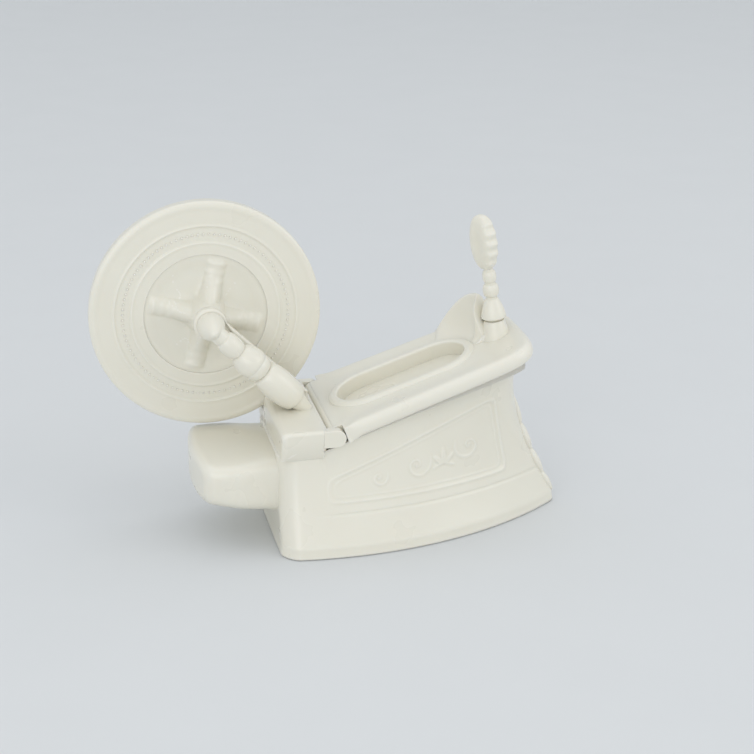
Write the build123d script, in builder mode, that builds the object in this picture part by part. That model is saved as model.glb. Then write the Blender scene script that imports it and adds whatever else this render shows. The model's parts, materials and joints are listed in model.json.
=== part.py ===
"""Ornamental box iron with a wheel, in glazed ceramic with metal hinges and fastenings.

The iron stands on its sole.  A hollow flared body carries a sloping lid that swings up on
a pin at the rear.  A turning catch stands on the front of the lid.  Behind the lid a beaded
stem leans back over an overhanging tank and carries a wheel on a lateral axle.

Frame: origin on the flat face of the sole, halfway along it.  +X to the nose, +Z up, mm.
"""

import os
from math import cos, radians, sin, sqrt, tan

from build123d import *

# Sole and body
sole_length = 158.0
sole_half_width = 50.0
sole_thickness = 6.0
sole_nose_radius = 5.0
widest_x = -48.0              # where the iron is widest
wall = 4.0                    # body wall
heel_corner = 7.0
ledge_height = 51.0           # top of the body behind the lid

# Lid, on a slope that rises to the nose
lid_slope = 18.8
lid_rear_x = -50.0
lid_rear_height = 65.5        # top of the lid above its hinge pin
lid_length = 116.0            # from the hinge pin to the front tip, along the slope
lid_half_width = 40.0
lid_tip_radius = 30.0
lid_widest = -10.0            # along the slope from the hinge pin
lid_thickness = 8.5
rim_round = 3.4
lid_gap = 0.2                 # under the closed lid
cornice_height = 5.0
cornice_inset = 2.5           # top of the cornice inside the edge of the lid
cornice_ring = 8.0
cornice_taper = 33.0

# Opening in the lid
opening_centre = 45.5         # from the hinge pin, along the slope
opening_length = 71.0
opening_width = 31.0
collar_wall = 2.0
collar_flange = 3.2
collar_rise = 1.4
recess_floor_thickness = 2.0    # the floor set in the bore of the collar

# Lid hinge
pin_radius = 2.0
pin_clearance = 0.1
ear_width = 5.0
ear_gap = 0.5
block_gap = 1.05              # between the barrel of the lid and the block
block_rear_x = -77.0
block_height = 15.0
lid_swing = 55.0

# Stem, strut and wheel
axle_x = -105.5
axle_height = 111.5
axle_radius = 4.0
axle_clearance = 0.05
stem_fall = 44.0              # angle of the stem below the horizontal
stem_y = -4.0                 # plane of the beads
small_bead_radius = 5.8
large_bead_radius = 7.9
bulb_radius = 8.7
bead_ends = (7.0, 18.0, 35.0, 58.5)   # along the stem from the axle
neck_radii = (3.6, 4.2, 5.0, 5.6)     # of the stem at each end of a bead
stem_rod_radius = 2.0
stem_rod_end = 3.0            # how deep the rod goes into the block
strut_gap = 0.3               # between the bulb and the strut
wheel_room = 1.2              # around the wheel where the block is cut away
boss_radius = 6.6
strut_thickness = 5.0
strut_half_width = 6.0
strut_eye = 2.5               # the eye of the strut beyond its sides
tenon_width = 10.0
tenon_depth = 8.0
foot_radius = 7.4
wheel_radius = 60.5
wheel_thickness = 9.0
wheel_face_y = 22.0
wheel_round = 1.6
well_radius = 32.0
well_depth = 3.0
bush_wall = 2.0
spider_hub_radius = 9.0
arm_width = 8.0
arm_turn = 76.3               # first arm, from the direction of the nose
arm_count = 4
rivet_reach = 26.0
washer_thickness = 1.0
play = 0.05                   # end play on each side of the wheel

# Tank behind the heel
tank_reach = 41.0             # how far the tank stands out behind the heel
tank_half_width = 36.0
tank_end_half_width = 33.0
tank_corner = 17.0
tank_top = 50.0
tank_low = 17.5               # underside at the heel
tank_rise = 9.0               # how much higher the underside is at the far end
tank_wall = 3.5
tank_floor_thickness = 3.0
tank_bolt_y = 13.0
tank_bolt_height = 38.0
bolt_radius = 2.5

# Catch on the front of the lid
catch_x = 44.2
catch_lean = 7.5              # to the rear
spindle_radius = 3.4
spindle_clearance = 0.1
cone_base_radius = 8.4
cone_top_radius = 5.8
cone_height = 8.5
head_width = 15.0
head_height = 30.0
head_thickness = 8.6
head_turn = 65.0              # the flat of the head, from the direction of the nose
tongue_length = 10.0
tongue_rest = 15.0            # from square across the iron towards the heel, when released
tongue_width = 5.5
tongue_thickness = 3.0
tongue_drop = 17.0            # top of the tongue below the foot of the catch
tongue_room = 0.6
nut_radius = 3.2
catch_nut_height = 4.0
spindle_end = 6.0             # spindle below the tongue
spindle_socket = 8.0          # spindle inside the post
bar_size = 4.0
bar_reach = 8.5               # behind the catch
bar_clearance = 0.8           # over the tongue
wing_reach = 25.0             # rear end of the wing behind the catch
wing_rise = 18.0
wing_width = 26.0

post_top = 36.0
post_joint = 0.2              # between the cone and the turning post
# Turned profile of the post: middle and end of each arc, as radius and height
post_arcs = (
    ((6.3, 13.0), (3.2, 19.0)),
    ((2.7, 20.5), (3.2, 22.0)),
    ((4.3, 25.0), (3.2, 28.0)),
    ((2.6, 29.5), (3.0, 31.0)),
    ((3.7, 33.2), (2.8, post_top)),
)

# Crest on the nose
crest_stand = 1.4             # proud of the nose
crest_root = 18.0             # how far back it reaches into the nose before it is cut
crest_half_width = 3.5
crest_top = 60.0

# Screws and dowels
screw_radius = 2.0
screw_head_radius = 4.0
screw_boss_radius = 5.2
driver_slot = 0.9
screw_places = ((-69.0, 36.0), (-69.0, -36.0), (62.0, 0.0))
boss_height = 12.0
grate_thickness = 3.0
grate_clearance = 1.0
slot_length = 44.0
slot_width = 5.0
slot_pitch = 13.0
slot_count = 6
slot_middle = -18.0
dowel_places = ((-70.0, 27.0), (-70.0, -27.0))
dowel_boss_depth = 16.0
dowel_depth = 12.0            # in the body
dowel_rise = 8.0              # in the block
bolt_head_radius = 4.5
bolt_head = 3.0
bolt_spare = 6.0              # bolt beyond the wall of the tank
nut_height = 4.0

# Derived places
heel_x = -sole_length / 2
nose_x = sole_length / 2
body_heel_x = heel_x + 0.8
slope_sin, slope_cos = sin(radians(lid_slope)), cos(radians(lid_slope))
lid_plane = Plane(
    origin=(lid_rear_x, 0, lid_rear_height),
    x_dir=(slope_cos, 0, slope_sin),
    z_dir=(-slope_sin, 0, slope_cos),
)
barrel_radius = lid_thickness / 2
pin_x = lid_rear_x + barrel_radius * slope_sin
pin_height = lid_rear_height - barrel_radius * slope_cos
block_face_x = pin_x - barrel_radius - block_gap
block_top = ledge_height + block_height
ear_outer_y = lid_half_width - 0.5
ear_inner_y = ear_outer_y - ear_width
cornice_depth = lid_thickness + lid_gap + cornice_height
stem_dir = (cos(radians(stem_fall)), 0, -sin(radians(stem_fall)))
stem_length = (axle_height - block_top) / sin(radians(stem_fall))
stem_plane = Plane(origin=(axle_x, stem_y, axle_height), x_dir=(0, 1, 0), z_dir=stem_dir)
strut_y = stem_y + bulb_radius + strut_gap
stem_foot_x = axle_x + stem_length * stem_dir[0]
stem_front_x = block_face_x - 0.6     # the foot stops behind the swing of the lid
tenon_centre = (stem_foot_x - 2, block_top - tenon_depth / 2)
strut_back_y = strut_y + strut_thickness
wheel_hub_y = strut_back_y + washer_thickness + 2 * play
wheel_back_y = wheel_face_y + wheel_thickness
bush_radius = axle_radius + axle_clearance + bush_wall
catch_z = lid_rear_height + (catch_x - lid_rear_x) * slope_sin / slope_cos
spindle_thread_radius = spindle_radius - 1.0
tongue_eye_radius = spindle_radius + 0.8
catch_plane = Plane(
    origin=(catch_x, 0, catch_z),
    x_dir=(cos(radians(catch_lean)), 0, sin(radians(catch_lean))),
    z_dir=(-sin(radians(catch_lean)), 0, cos(radians(catch_lean))),
)
grate_z = sole_thickness + boss_height
tank_end_x = body_heel_x - tank_reach
bar_centre = catch_plane.from_local_coords(
    Vector(-bar_reach, 0, bar_clearance - tongue_drop + bar_size / 2)
)
big = 400.0                   # larger than the iron, for cutting away one side

# Sections of the body: height, tip, widest place, half width and tip radius
body_sections = (
    (sole_thickness, nose_x - 1.2, widest_x, sole_half_width - 0.8, sole_nose_radius),
    (30.0, nose_x - 14.0, widest_x - 2.0, sole_half_width - 9.5, 9.0),
    (60.0, nose_x - 24.0, widest_x - 7.0, sole_half_width - 15.0, 18.0),
    (112.0, nose_x - 15.0, widest_x - 12.0, sole_half_width - 17.0, 24.0),
)


def lid_top(x):
    """Height of the top of the lid at a place along the iron."""
    return lid_rear_height + (x - lid_rear_x) * tan(radians(lid_slope))


def iron_outline(rear, tip, widest, half_width, tip_radius):
    """Plan of an iron: a straight heel, two side arcs, and a tip arc tangent to both."""
    reach = tip - tip_radius - widest
    side_radius = (reach**2 + half_width**2 - tip_radius**2) / (2 * (half_width - tip_radius))
    centre = half_width - side_radius
    span = side_radius - tip_radius
    join_x = tip - tip_radius + tip_radius * reach / span
    join_y = -tip_radius * centre / span
    middle_x = (rear + join_x) / 2
    rear_y = centre + sqrt(side_radius**2 - (rear - widest) ** 2)
    middle_y = centre + sqrt(side_radius**2 - (middle_x - widest) ** 2)
    with BuildSketch() as outline:
        with BuildLine():
            Line((rear, -rear_y), (rear, rear_y))
            ThreePointArc((rear, rear_y), (middle_x, middle_y), (join_x, join_y))
            ThreePointArc((join_x, join_y), (tip, 0), (join_x, -join_y))
            ThreePointArc((join_x, -join_y), (middle_x, -middle_y), (rear, -rear_y))
        make_face()
    return outline.sketch


def lid_outline(inset):
    """Plan of the lid on its slope, drawn in by an inset."""
    return iron_outline(
        inset, lid_length - inset, lid_widest, lid_half_width - inset, lid_tip_radius - inset
    )


def finish_piece(piece, name):
    """Label a piece and write it."""
    piece.part.label = name
    export_step(piece.part, f"parts/{name}.step")


os.makedirs("parts", exist_ok=True)

# ---------------------------------------------------------------- sole
with BuildPart() as sole_plate:
    with BuildSketch() as sole_sketch:
        add(iron_outline(heel_x, nose_x, widest_x, sole_half_width, sole_nose_radius))
        fillet(sole_sketch.vertices().group_by(Axis.X)[0], heel_corner)
    extrude(amount=sole_thickness)
    with Locations(*[Location((x, y, 0), (180, 0, 0)) for x, y in screw_places]):
        CounterSinkHole(screw_radius, screw_head_radius)
    fillet(sole_plate.faces().sort_by(Axis.Z)[-1].edges(), 1.0)
finish_piece(sole_plate, "sole_plate")

# ---------------------------------------------------------------- body
with BuildPart() as body_shell:
    for height, tip, widest, half_width, tip_radius in body_sections:
        with BuildSketch(Plane.XY.offset(height)):
            add(iron_outline(body_heel_x, tip, widest, half_width, tip_radius))
    loft()
    heel_edges = body_shell.edges().filter_by_position(
        Axis.X, body_heel_x - 0.1, body_heel_x + 0.1
    )
    fillet(heel_edges.filter_by(lambda e: e.bounding_box().size.Z > 50), heel_corner)
    for height, tip, widest, half_width, tip_radius in body_sections:
        with BuildSketch(Plane.XY.offset(height)):
            add(
                iron_outline(
                    body_heel_x + wall, tip - wall, widest, half_width - wall, tip_radius - 3
                )
            )
    loft(mode=Mode.SUBTRACT)
    with BuildSketch(Plane.XY.offset(sole_thickness)):
        with Locations(*screw_places):
            Circle(screw_boss_radius)
    extrude(amount=boss_height)
    with BuildSketch(Plane.XY.offset(ledge_height - dowel_boss_depth)):
        with Locations(*dowel_places):
            Circle(screw_boss_radius)
    extrude(amount=dowel_boss_depth)
    # the slope under the cornice and the level ledge under the hinge block
    cut_rear = lid_rear_height - cornice_depth / slope_cos
    with BuildSketch(Plane.XZ) as top_cut:
        with BuildLine():
            Polyline(
                (-big, ledge_height),
                (lid_rear_x + (ledge_height - cut_rear) / tan(radians(lid_slope)), ledge_height),
                (lid_rear_x + big, cut_rear + big * tan(radians(lid_slope))),
                (-big, cut_rear + big * tan(radians(lid_slope))),
                close=True,
            )
        make_face()
    extrude(amount=big, both=True, mode=Mode.SUBTRACT)
    with BuildSketch(Plane.XY.offset(sole_thickness)):
        with Locations(*screw_places):
            Circle(screw_radius)
    extrude(amount=boss_height - 2, mode=Mode.SUBTRACT)
    with BuildSketch(Plane.XY.offset(ledge_height)):
        with Locations(*dowel_places):
            Circle(screw_radius)
    extrude(amount=-dowel_depth, mode=Mode.SUBTRACT)
    with BuildSketch(Plane.YZ.offset(body_heel_x)):
        with Locations((tank_bolt_y, tank_bolt_height), (-tank_bolt_y, tank_bolt_height)):
            Circle(bolt_radius)
    extrude(amount=wall + 1, mode=Mode.SUBTRACT)
    # room for the catch to turn inside the nose
    with BuildSketch(catch_plane.offset(-tongue_drop - tongue_thickness - spindle_end - 1)):
        Circle(tongue_eye_radius + tongue_room)
    extrude(amount=tongue_thickness + 2 * spindle_end, mode=Mode.SUBTRACT)
finish_piece(body_shell, "body_shell")

with BuildPart() as cornice:
    with BuildSketch(lid_plane.offset(-lid_thickness - lid_gap)):
        add(lid_outline(cornice_inset))
    extrude(amount=-cornice_height, taper=cornice_taper)
    with BuildSketch(lid_plane.offset(-lid_thickness - lid_gap)):
        add(lid_outline(cornice_inset + cornice_ring))
    extrude(amount=-cornice_height, mode=Mode.SUBTRACT)
    with BuildSketch(Plane.XY.offset(ledge_height - 5)):
        with Locations((block_face_x - 50, 0)):
            Rectangle(100, 120)
    extrude(amount=50, mode=Mode.SUBTRACT)
finish_piece(cornice, "cornice")

with BuildPart() as prow_crest:
    with BuildSketch(Plane.XZ):
        with BuildLine():
            low, middle, high = body_sections[:3]
            nose_line = Spline(
                (low[1] + 0.3 * crest_stand, sole_thickness + 0.1),
                (middle[1] + crest_stand, middle[0]),
                (high[1] + crest_stand, crest_top),
            )
            root_x = (nose_line @ 1).X - crest_root
            Polyline(nose_line @ 1, (root_x, crest_top), (root_x, sole_thickness), nose_line @ 0)
        make_face()
    extrude(amount=crest_half_width, both=True)
    for height, tip, widest, half_width, tip_radius in body_sections:
        with BuildSketch(Plane.XY.offset(height)):
            add(iron_outline(body_heel_x, tip, widest, half_width, tip_radius))
    loft(mode=Mode.SUBTRACT)
finish_piece(prow_crest, "prow_crest")

with BuildPart() as catch_bar:
    with BuildSketch(Plane.XZ):
        with Locations((bar_centre.X, bar_centre.Z)):
            Rectangle(bar_size, bar_size)
    extrude(amount=big, both=True)
    for height, tip, widest, half_width, tip_radius in body_sections:
        with BuildSketch(Plane.XY.offset(height)):
            add(
                iron_outline(
                    body_heel_x + wall, tip - wall, widest, half_width - wall, tip_radius - 3
                )
            )
    loft(mode=Mode.INTERSECT)
finish_piece(catch_bar, "catch_bar")

with BuildPart() as fire_grate:
    with BuildSketch(Plane.XY.offset(grate_z)):
        add(
            iron_outline(
                body_heel_x + wall + grate_clearance,
                body_sections[1][1] - wall - grate_clearance,
                widest_x,
                body_sections[1][3] - wall + grate_clearance,
                body_sections[1][4] - wall + grate_clearance,
            )
        )
        with Locations((slot_middle, 0)):
            with GridLocations(slot_pitch, 0, slot_count, 1):
                SlotOverall(slot_length, slot_width, rotation=90, mode=Mode.SUBTRACT)
    extrude(amount=grate_thickness)
finish_piece(fire_grate, "fire_grate")

with BuildPart() as sole_screws:
    for x, y in screw_places:
        with BuildSketch(Plane.XY):
            with Locations((x, y)):
                Circle(screw_head_radius)
        extrude(amount=screw_head_radius - screw_radius, taper=45)
        with BuildSketch(Plane.XY):
            with Locations((x, y)):
                Circle(screw_radius)
        extrude(amount=sole_thickness + boss_height - 4)
        with BuildSketch(Plane.XY):
            with Locations((x, y)):
                Rectangle(1.2 * screw_head_radius, driver_slot)
        extrude(amount=driver_slot, mode=Mode.SUBTRACT)
finish_piece(sole_screws, "sole_screws")

# ---------------------------------------------------------------- hinge block
with BuildPart() as hinge_block:
    with BuildSketch(Plane.XZ):
        with BuildLine():
            lean = radians(90 - lid_slope - lid_swing)
            Polyline(
                (block_rear_x, ledge_height),
                (block_face_x, ledge_height),
                (block_face_x, pin_height),
                (block_face_x + (block_top - pin_height) * tan(lean), block_top),
                (block_rear_x, block_top),
                close=True,
            )
        make_face()
    extrude(amount=ear_outer_y, both=True)
    rear_edges = hinge_block.edges().filter_by(Axis.Z).group_by(Axis.X)[0]
    fillet(rear_edges, heel_corner)
    fillet(hinge_block.faces().sort_by(Axis.Z)[-1].edges().sort_by(Axis.X)[:-1], 2.0)
    for side in (1, -1):
        with BuildSketch(Plane.XZ.offset(-side * ear_outer_y)):
            with Locations((pin_x, pin_height)):
                Circle(barrel_radius)
            with Locations(((block_face_x - 1 + pin_x) / 2, pin_height)):
                Rectangle(pin_x - block_face_x + 1, 2 * barrel_radius)
        extrude(amount=side * ear_width)
    with BuildSketch(Plane.XZ):
        with Locations((pin_x, pin_height)):
            Circle(pin_radius)
    extrude(amount=ear_outer_y, both=True, mode=Mode.SUBTRACT)
    with BuildSketch(Plane.XY.offset(ledge_height)):
        with Locations(*dowel_places):
            Circle(screw_radius)
    extrude(amount=dowel_rise, mode=Mode.SUBTRACT)
    with BuildSketch(stem_plane):
        Circle(stem_rod_radius)
    extrude(amount=stem_length + stem_rod_end, mode=Mode.SUBTRACT)
    with BuildSketch(Plane.XZ.offset(-strut_y)):
        with Locations(tenon_centre):
            Rectangle(tenon_width, tenon_depth)
    extrude(amount=-strut_thickness, mode=Mode.SUBTRACT)
    with BuildSketch(Plane.XZ.offset(-wheel_face_y + wheel_room)):
        with Locations((axle_x, axle_height)):
            Circle(wheel_radius + wheel_room)
    extrude(amount=-big, mode=Mode.SUBTRACT)
finish_piece(hinge_block, "hinge_block")

with BuildPart() as block_dowels:
    with BuildSketch(Plane.XY.offset(ledge_height - dowel_depth)):
        with Locations(*dowel_places):
            Circle(screw_radius)
    extrude(amount=dowel_depth + dowel_rise)
finish_piece(block_dowels, "block_dowels")

with BuildPart() as hinge_pin:
    with BuildSketch(Plane.XZ):
        with Locations((pin_x, pin_height)):
            Circle(pin_radius)
    extrude(amount=ear_outer_y, both=True)
    chamfer(hinge_pin.edges(), 0.4)
finish_piece(hinge_pin, "hinge_pin")

# ---------------------------------------------------------------- tank
tank_slope = tank_rise / tank_reach


def tank_outline(inset):
    """Plan of the tank, drawn in by an inset."""
    with BuildSketch() as outline:
        with BuildLine():
            Polyline(
                (body_heel_x - inset, tank_half_width - inset),
                (tank_end_x + inset, tank_end_half_width - inset),
                (tank_end_x + inset, -tank_end_half_width + inset),
                (body_heel_x - inset, -tank_half_width + inset),
                close=True,
            )
        make_face()
        fillet(outline.vertices().group_by(Axis.X)[0], tank_corner - inset)
    return outline.sketch


def tank_prism(lift, inset, top):
    """Tank outline raised from its sloping underside, lifted by so much, to a level top."""
    with BuildPart() as prism:
        with BuildSketch():
            add(tank_outline(inset))
        extrude(amount=top)
        with BuildSketch(Plane.XZ):
            with BuildLine():
                Polyline(
                    (body_heel_x + 5, 0),
                    (body_heel_x + 5, tank_low + lift - 5 * tank_slope),
                    (tank_end_x - 5, tank_low + lift + (tank_reach + 5) * tank_slope),
                    (tank_end_x - 5, 0),
                    close=True,
                )
            make_face()
        extrude(amount=big, both=True, mode=Mode.SUBTRACT)
    return prism.part


tank_solid = tank_prism(0, 0, tank_top)
tank_above_floor = tank_prism(tank_floor_thickness, 0, tank_top)
tank_hollow = tank_prism(tank_floor_thickness, tank_wall, tank_top - tank_wall)

with BuildPart() as heel_tank:
    add(tank_above_floor)
    fillet(heel_tank.faces().sort_by(Axis.Z)[-1].edges().sort_by(Axis.X)[:-1], 5.0)
    add(tank_hollow, mode=Mode.SUBTRACT)
    with BuildSketch(Plane.YZ.offset(body_heel_x)):
        with Locations((tank_bolt_y, tank_bolt_height), (-tank_bolt_y, tank_bolt_height)):
            Circle(bolt_radius)
    extrude(amount=-tank_wall - 1, mode=Mode.SUBTRACT)
finish_piece(heel_tank, "heel_tank")

with BuildPart() as tank_floor:
    add(tank_solid)
    add(tank_above_floor, mode=Mode.SUBTRACT)
finish_piece(tank_floor, "tank_floor")

with BuildPart() as tank_bolts:
    for y in (tank_bolt_y, -tank_bolt_y):
        with BuildSketch(Plane.YZ.offset(body_heel_x + wall)):
            with Locations((y, tank_bolt_height)):
                Circle(bolt_head_radius)
        extrude(amount=bolt_head)
        with BuildSketch(Plane.YZ.offset(body_heel_x + wall)):
            with Locations((y, tank_bolt_height)):
                Circle(bolt_radius)
        extrude(amount=-wall - tank_wall - bolt_spare)
finish_piece(tank_bolts, "tank_bolts")

with BuildPart() as tank_nuts:
    with BuildSketch(Plane.YZ.offset(body_heel_x - tank_wall)):
        with Locations((tank_bolt_y, tank_bolt_height), (-tank_bolt_y, tank_bolt_height)):
            RegularPolygon(bolt_head_radius, 6, major_radius=False)
            Circle(bolt_radius, mode=Mode.SUBTRACT)
    extrude(amount=-nut_height)
finish_piece(tank_nuts, "tank_nuts")

# ---------------------------------------------------------------- stem and axle
def turned(start, arcs):
    """A piece turned about the stem: from a start, arcs given by their middle and end.

    Each point is a distance along the stem and a radius.
    """
    with BuildPart() as piece:
        with BuildSketch(Plane(origin=stem_plane.origin, x_dir=stem_dir, z_dir=(0, -1, 0))):
            with BuildLine():
                here = start
                for middle, end in arcs:
                    ThreePointArc(here, middle, end)
                    here = end
                Polyline(here, (here[0], stem_rod_radius), (start[0], stem_rod_radius), start)
            make_face()
        revolve(axis=Axis(stem_plane.origin, stem_dir))
    return piece


bead_0, bead_1, bead_2, bead_3 = bead_ends
neck_0, neck_1, neck_2, neck_3 = neck_radii
small_middle = ((bead_0 + bead_1) / 2, small_bead_radius)
small_bead = turned((bead_0, neck_0), [(small_middle, (bead_1, neck_1))])
finish_piece(small_bead, "small_bead")

# the large bead has a groove in its lower half
groove_at = bead_1 + 0.63 * (bead_2 - bead_1)
large_arcs = [
    ((bead_1 + 6.0, large_bead_radius), (groove_at, large_bead_radius - 1.2)),
    ((groove_at + 3.2, large_bead_radius - 0.4), (bead_2, neck_2)),
]
large_bead = turned((bead_1, neck_1), large_arcs)
finish_piece(large_bead, "large_bead")

bulb_middle = (bead_2 + 0.4 * (bead_3 - bead_2), bulb_radius)
bulb = turned((bead_2, neck_2), [(bulb_middle, (bead_3, neck_3))])
finish_piece(bulb, "stem_bulb")

with BuildPart() as stem_foot:
    with BuildSketch(stem_plane.offset(bead_3)):
        Circle(neck_3)
    with BuildSketch(stem_plane.offset(stem_length - 2)):
        Circle(foot_radius)
    loft()
    with BuildSketch(stem_plane.offset(stem_length - 2)):
        Circle(foot_radius)
    extrude(amount=20)
    split(bisect_by=Plane.XY.offset(block_top), keep=Keep.TOP)
    split(bisect_by=Plane.YZ.offset(stem_front_x), keep=Keep.BOTTOM)
    with BuildSketch(stem_plane):
        Circle(stem_rod_radius)
    extrude(amount=big, mode=Mode.SUBTRACT)
finish_piece(stem_foot, "stem_foot")

with BuildPart() as stem_rod:
    with BuildSketch(stem_plane.offset(4)):
        Circle(stem_rod_radius)
    extrude(amount=stem_length + stem_rod_end - 4)
finish_piece(stem_rod, "stem_rod")

with BuildPart() as axle_boss:
    with BuildSketch(Plane.YZ.offset(axle_x)):
        with BuildLine():
            front = stem_y - boss_radius - 1.5
            Line((front, axle_height), (strut_y, axle_height))
            Line((strut_y, axle_height), (strut_y, axle_height + boss_radius))
            Line((strut_y, axle_height + boss_radius), (stem_y, axle_height + boss_radius))
            ThreePointArc(
                (stem_y, axle_height + boss_radius),
                (stem_y - boss_radius * 0.8, axle_height + boss_radius * 0.72),
                (front, axle_height),
            )
        make_face()
    revolve(axis=Axis((axle_x, 0, axle_height), (0, 1, 0)))
    with BuildSketch(Plane.XZ.offset(-stem_y)):
        with Locations((axle_x, axle_height)):
            Circle(axle_radius)
    extrude(amount=-big, mode=Mode.SUBTRACT)
    with BuildSketch(stem_plane.offset(4)):
        Circle(stem_rod_radius)
    extrude(amount=10, mode=Mode.SUBTRACT)
finish_piece(axle_boss, "axle_boss")

with BuildPart() as axle:
    with BuildSketch(Plane.XZ.offset(-stem_y)):
        with Locations((axle_x, axle_height)):
            Circle(axle_radius)
    extrude(amount=-(wheel_back_y + play + washer_thickness + 6 - stem_y))
    chamfer(axle.faces().sort_by(Axis.Y)[-1].edges(), 0.8)
    with BuildSketch(stem_plane):
        Circle(stem_rod_radius)
    extrude(amount=stem_length, mode=Mode.SUBTRACT)
finish_piece(axle, "axle")

with BuildPart() as stem_strut:
    with BuildSketch(Plane.XZ.offset(-strut_y)):
        with Locations((axle_x, axle_height)):
            Circle(strut_half_width + strut_eye)
        with BuildLine():
            side_x, side_z = -stem_dir[2] * strut_half_width, stem_dir[0] * strut_half_width
            low_x = stem_foot_x + tenon_depth * stem_dir[0]
            low_z = block_top + tenon_depth * stem_dir[2]
            Polyline(
                (axle_x + side_x, axle_height + side_z),
                (low_x + side_x, low_z + side_z),
                (low_x - side_x, low_z - side_z),
                (axle_x - side_x, axle_height - side_z),
                close=True,
            )
        make_face()
        with Locations((stem_front_x + big / 2, block_top)):
            Rectangle(big, big, mode=Mode.SUBTRACT)
        with Locations((stem_foot_x, block_top - big / 2)):
            Rectangle(big, big, mode=Mode.SUBTRACT)
        with Locations(tenon_centre):
            Rectangle(tenon_width, tenon_depth)
        with Locations((axle_x, axle_height)):
            Circle(axle_radius, mode=Mode.SUBTRACT)
    extrude(amount=-strut_thickness)
finish_piece(stem_strut, "stem_strut")


def ring(name, start_y, thickness, outer, inner):
    """A flat ring on the axle."""
    with BuildPart() as piece:
        with BuildSketch(Plane.XZ.offset(-start_y)):
            with Locations((axle_x, axle_height)):
                Circle(outer)
                Circle(inner, mode=Mode.SUBTRACT)
        extrude(amount=-thickness)
    finish_piece(piece, name)
    return piece


front_washer = ring(
    "front_washer", strut_back_y + play, washer_thickness, bush_radius + 1, axle_radius
)
rear_washer = ring(
    "rear_washer", wheel_back_y + play, washer_thickness, bush_radius + 2, axle_radius
)
wheel_bush = ring(
    "wheel_bush", wheel_hub_y, wheel_back_y - wheel_hub_y, bush_radius,
    axle_radius + axle_clearance,
)

with BuildPart() as axle_nut:
    with BuildSketch(Plane.XZ.offset(-wheel_back_y - play - washer_thickness)):
        with Locations((axle_x, axle_height)):
            RegularPolygon(bush_radius + 0.5, 6, major_radius=False)
            Circle(axle_radius, mode=Mode.SUBTRACT)
    extrude(amount=-4.5)
    chamfer(axle_nut.faces().sort_by(Axis.Y)[-1].edges().filter_by(GeomType.LINE), 0.5)
finish_piece(axle_nut, "axle_nut")

# ---------------------------------------------------------------- wheel
with BuildPart() as wheel_disc:
    with BuildSketch(Plane.XZ.offset(-wheel_face_y)):
        with Locations((axle_x, axle_height)):
            Circle(wheel_radius)
    extrude(amount=-wheel_thickness)
    fillet(wheel_disc.edges(), wheel_round)
    with BuildSketch(Plane.XZ.offset(-wheel_face_y)):
        with Locations((axle_x, axle_height)):
            Circle(well_radius)
    extrude(amount=-well_depth, mode=Mode.SUBTRACT)
    with BuildSketch(Plane.XZ.offset(-wheel_face_y)):
        with Locations((axle_x, axle_height)):
            Circle(bush_radius)
            with PolarLocations(rivet_reach, arm_count, start_angle=arm_turn):
                Circle(screw_radius)
    extrude(amount=-wheel_thickness, mode=Mode.SUBTRACT)
finish_piece(wheel_disc, "wheel_disc")

floor_y = wheel_face_y + well_depth
tip_y = wheel_hub_y + 6.0
with BuildPart() as wheel_spider:
    with BuildSketch(Plane.XZ.offset(-wheel_hub_y)):
        with Locations((axle_x, axle_height)):
            Circle(spider_hub_radius)
    extrude(amount=-(floor_y - wheel_hub_y))
    for arm in range(arm_count):
        turn = radians(arm_turn + arm * 360 / arm_count)
        arm_plane = Plane(
            origin=(axle_x, 0, axle_height),
            x_dir=(cos(turn), 0, sin(turn)),
            z_dir=(-sin(turn), 0, cos(turn)),
        )
        with BuildSketch(arm_plane):
            with BuildLine():
                Polyline(
                    (0, wheel_hub_y),
                    (spider_hub_radius, wheel_hub_y + 0.6),
                    (rivet_reach + 3, tip_y),
                    (well_radius - 0.5, tip_y + 2.5),
                    (well_radius - 0.5, floor_y),
                    (0, floor_y),
                    close=True,
                )
            make_face()
        extrude(amount=arm_width / 2, both=True)
    with BuildSketch(Plane.XZ.offset(-wheel_hub_y)):
        with Locations((axle_x, axle_height)):
            Circle(bush_radius)
            with PolarLocations(rivet_reach, arm_count, start_angle=arm_turn):
                Circle(screw_radius)
    extrude(amount=-big, mode=Mode.SUBTRACT)
finish_piece(wheel_spider, "wheel_spider")

with BuildPart() as arm_rivets:
    with Locations(Plane.XZ.offset(-wheel_back_y)):
        with Locations((axle_x, axle_height)):
            with PolarLocations(rivet_reach, arm_count, start_angle=arm_turn):
                Cylinder(
                    screw_radius, wheel_back_y - tip_y + 1.5,
                    align=(Align.CENTER, Align.CENTER, Align.MIN),
                )
    with Locations(Plane.XZ.offset(-tip_y)):
        with Locations((axle_x, axle_height)):
            with PolarLocations(rivet_reach, arm_count, start_angle=arm_turn):
                Sphere(3.6)
    add(wheel_spider.part, mode=Mode.SUBTRACT)
finish_piece(arm_rivets, "arm_rivets")

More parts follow.
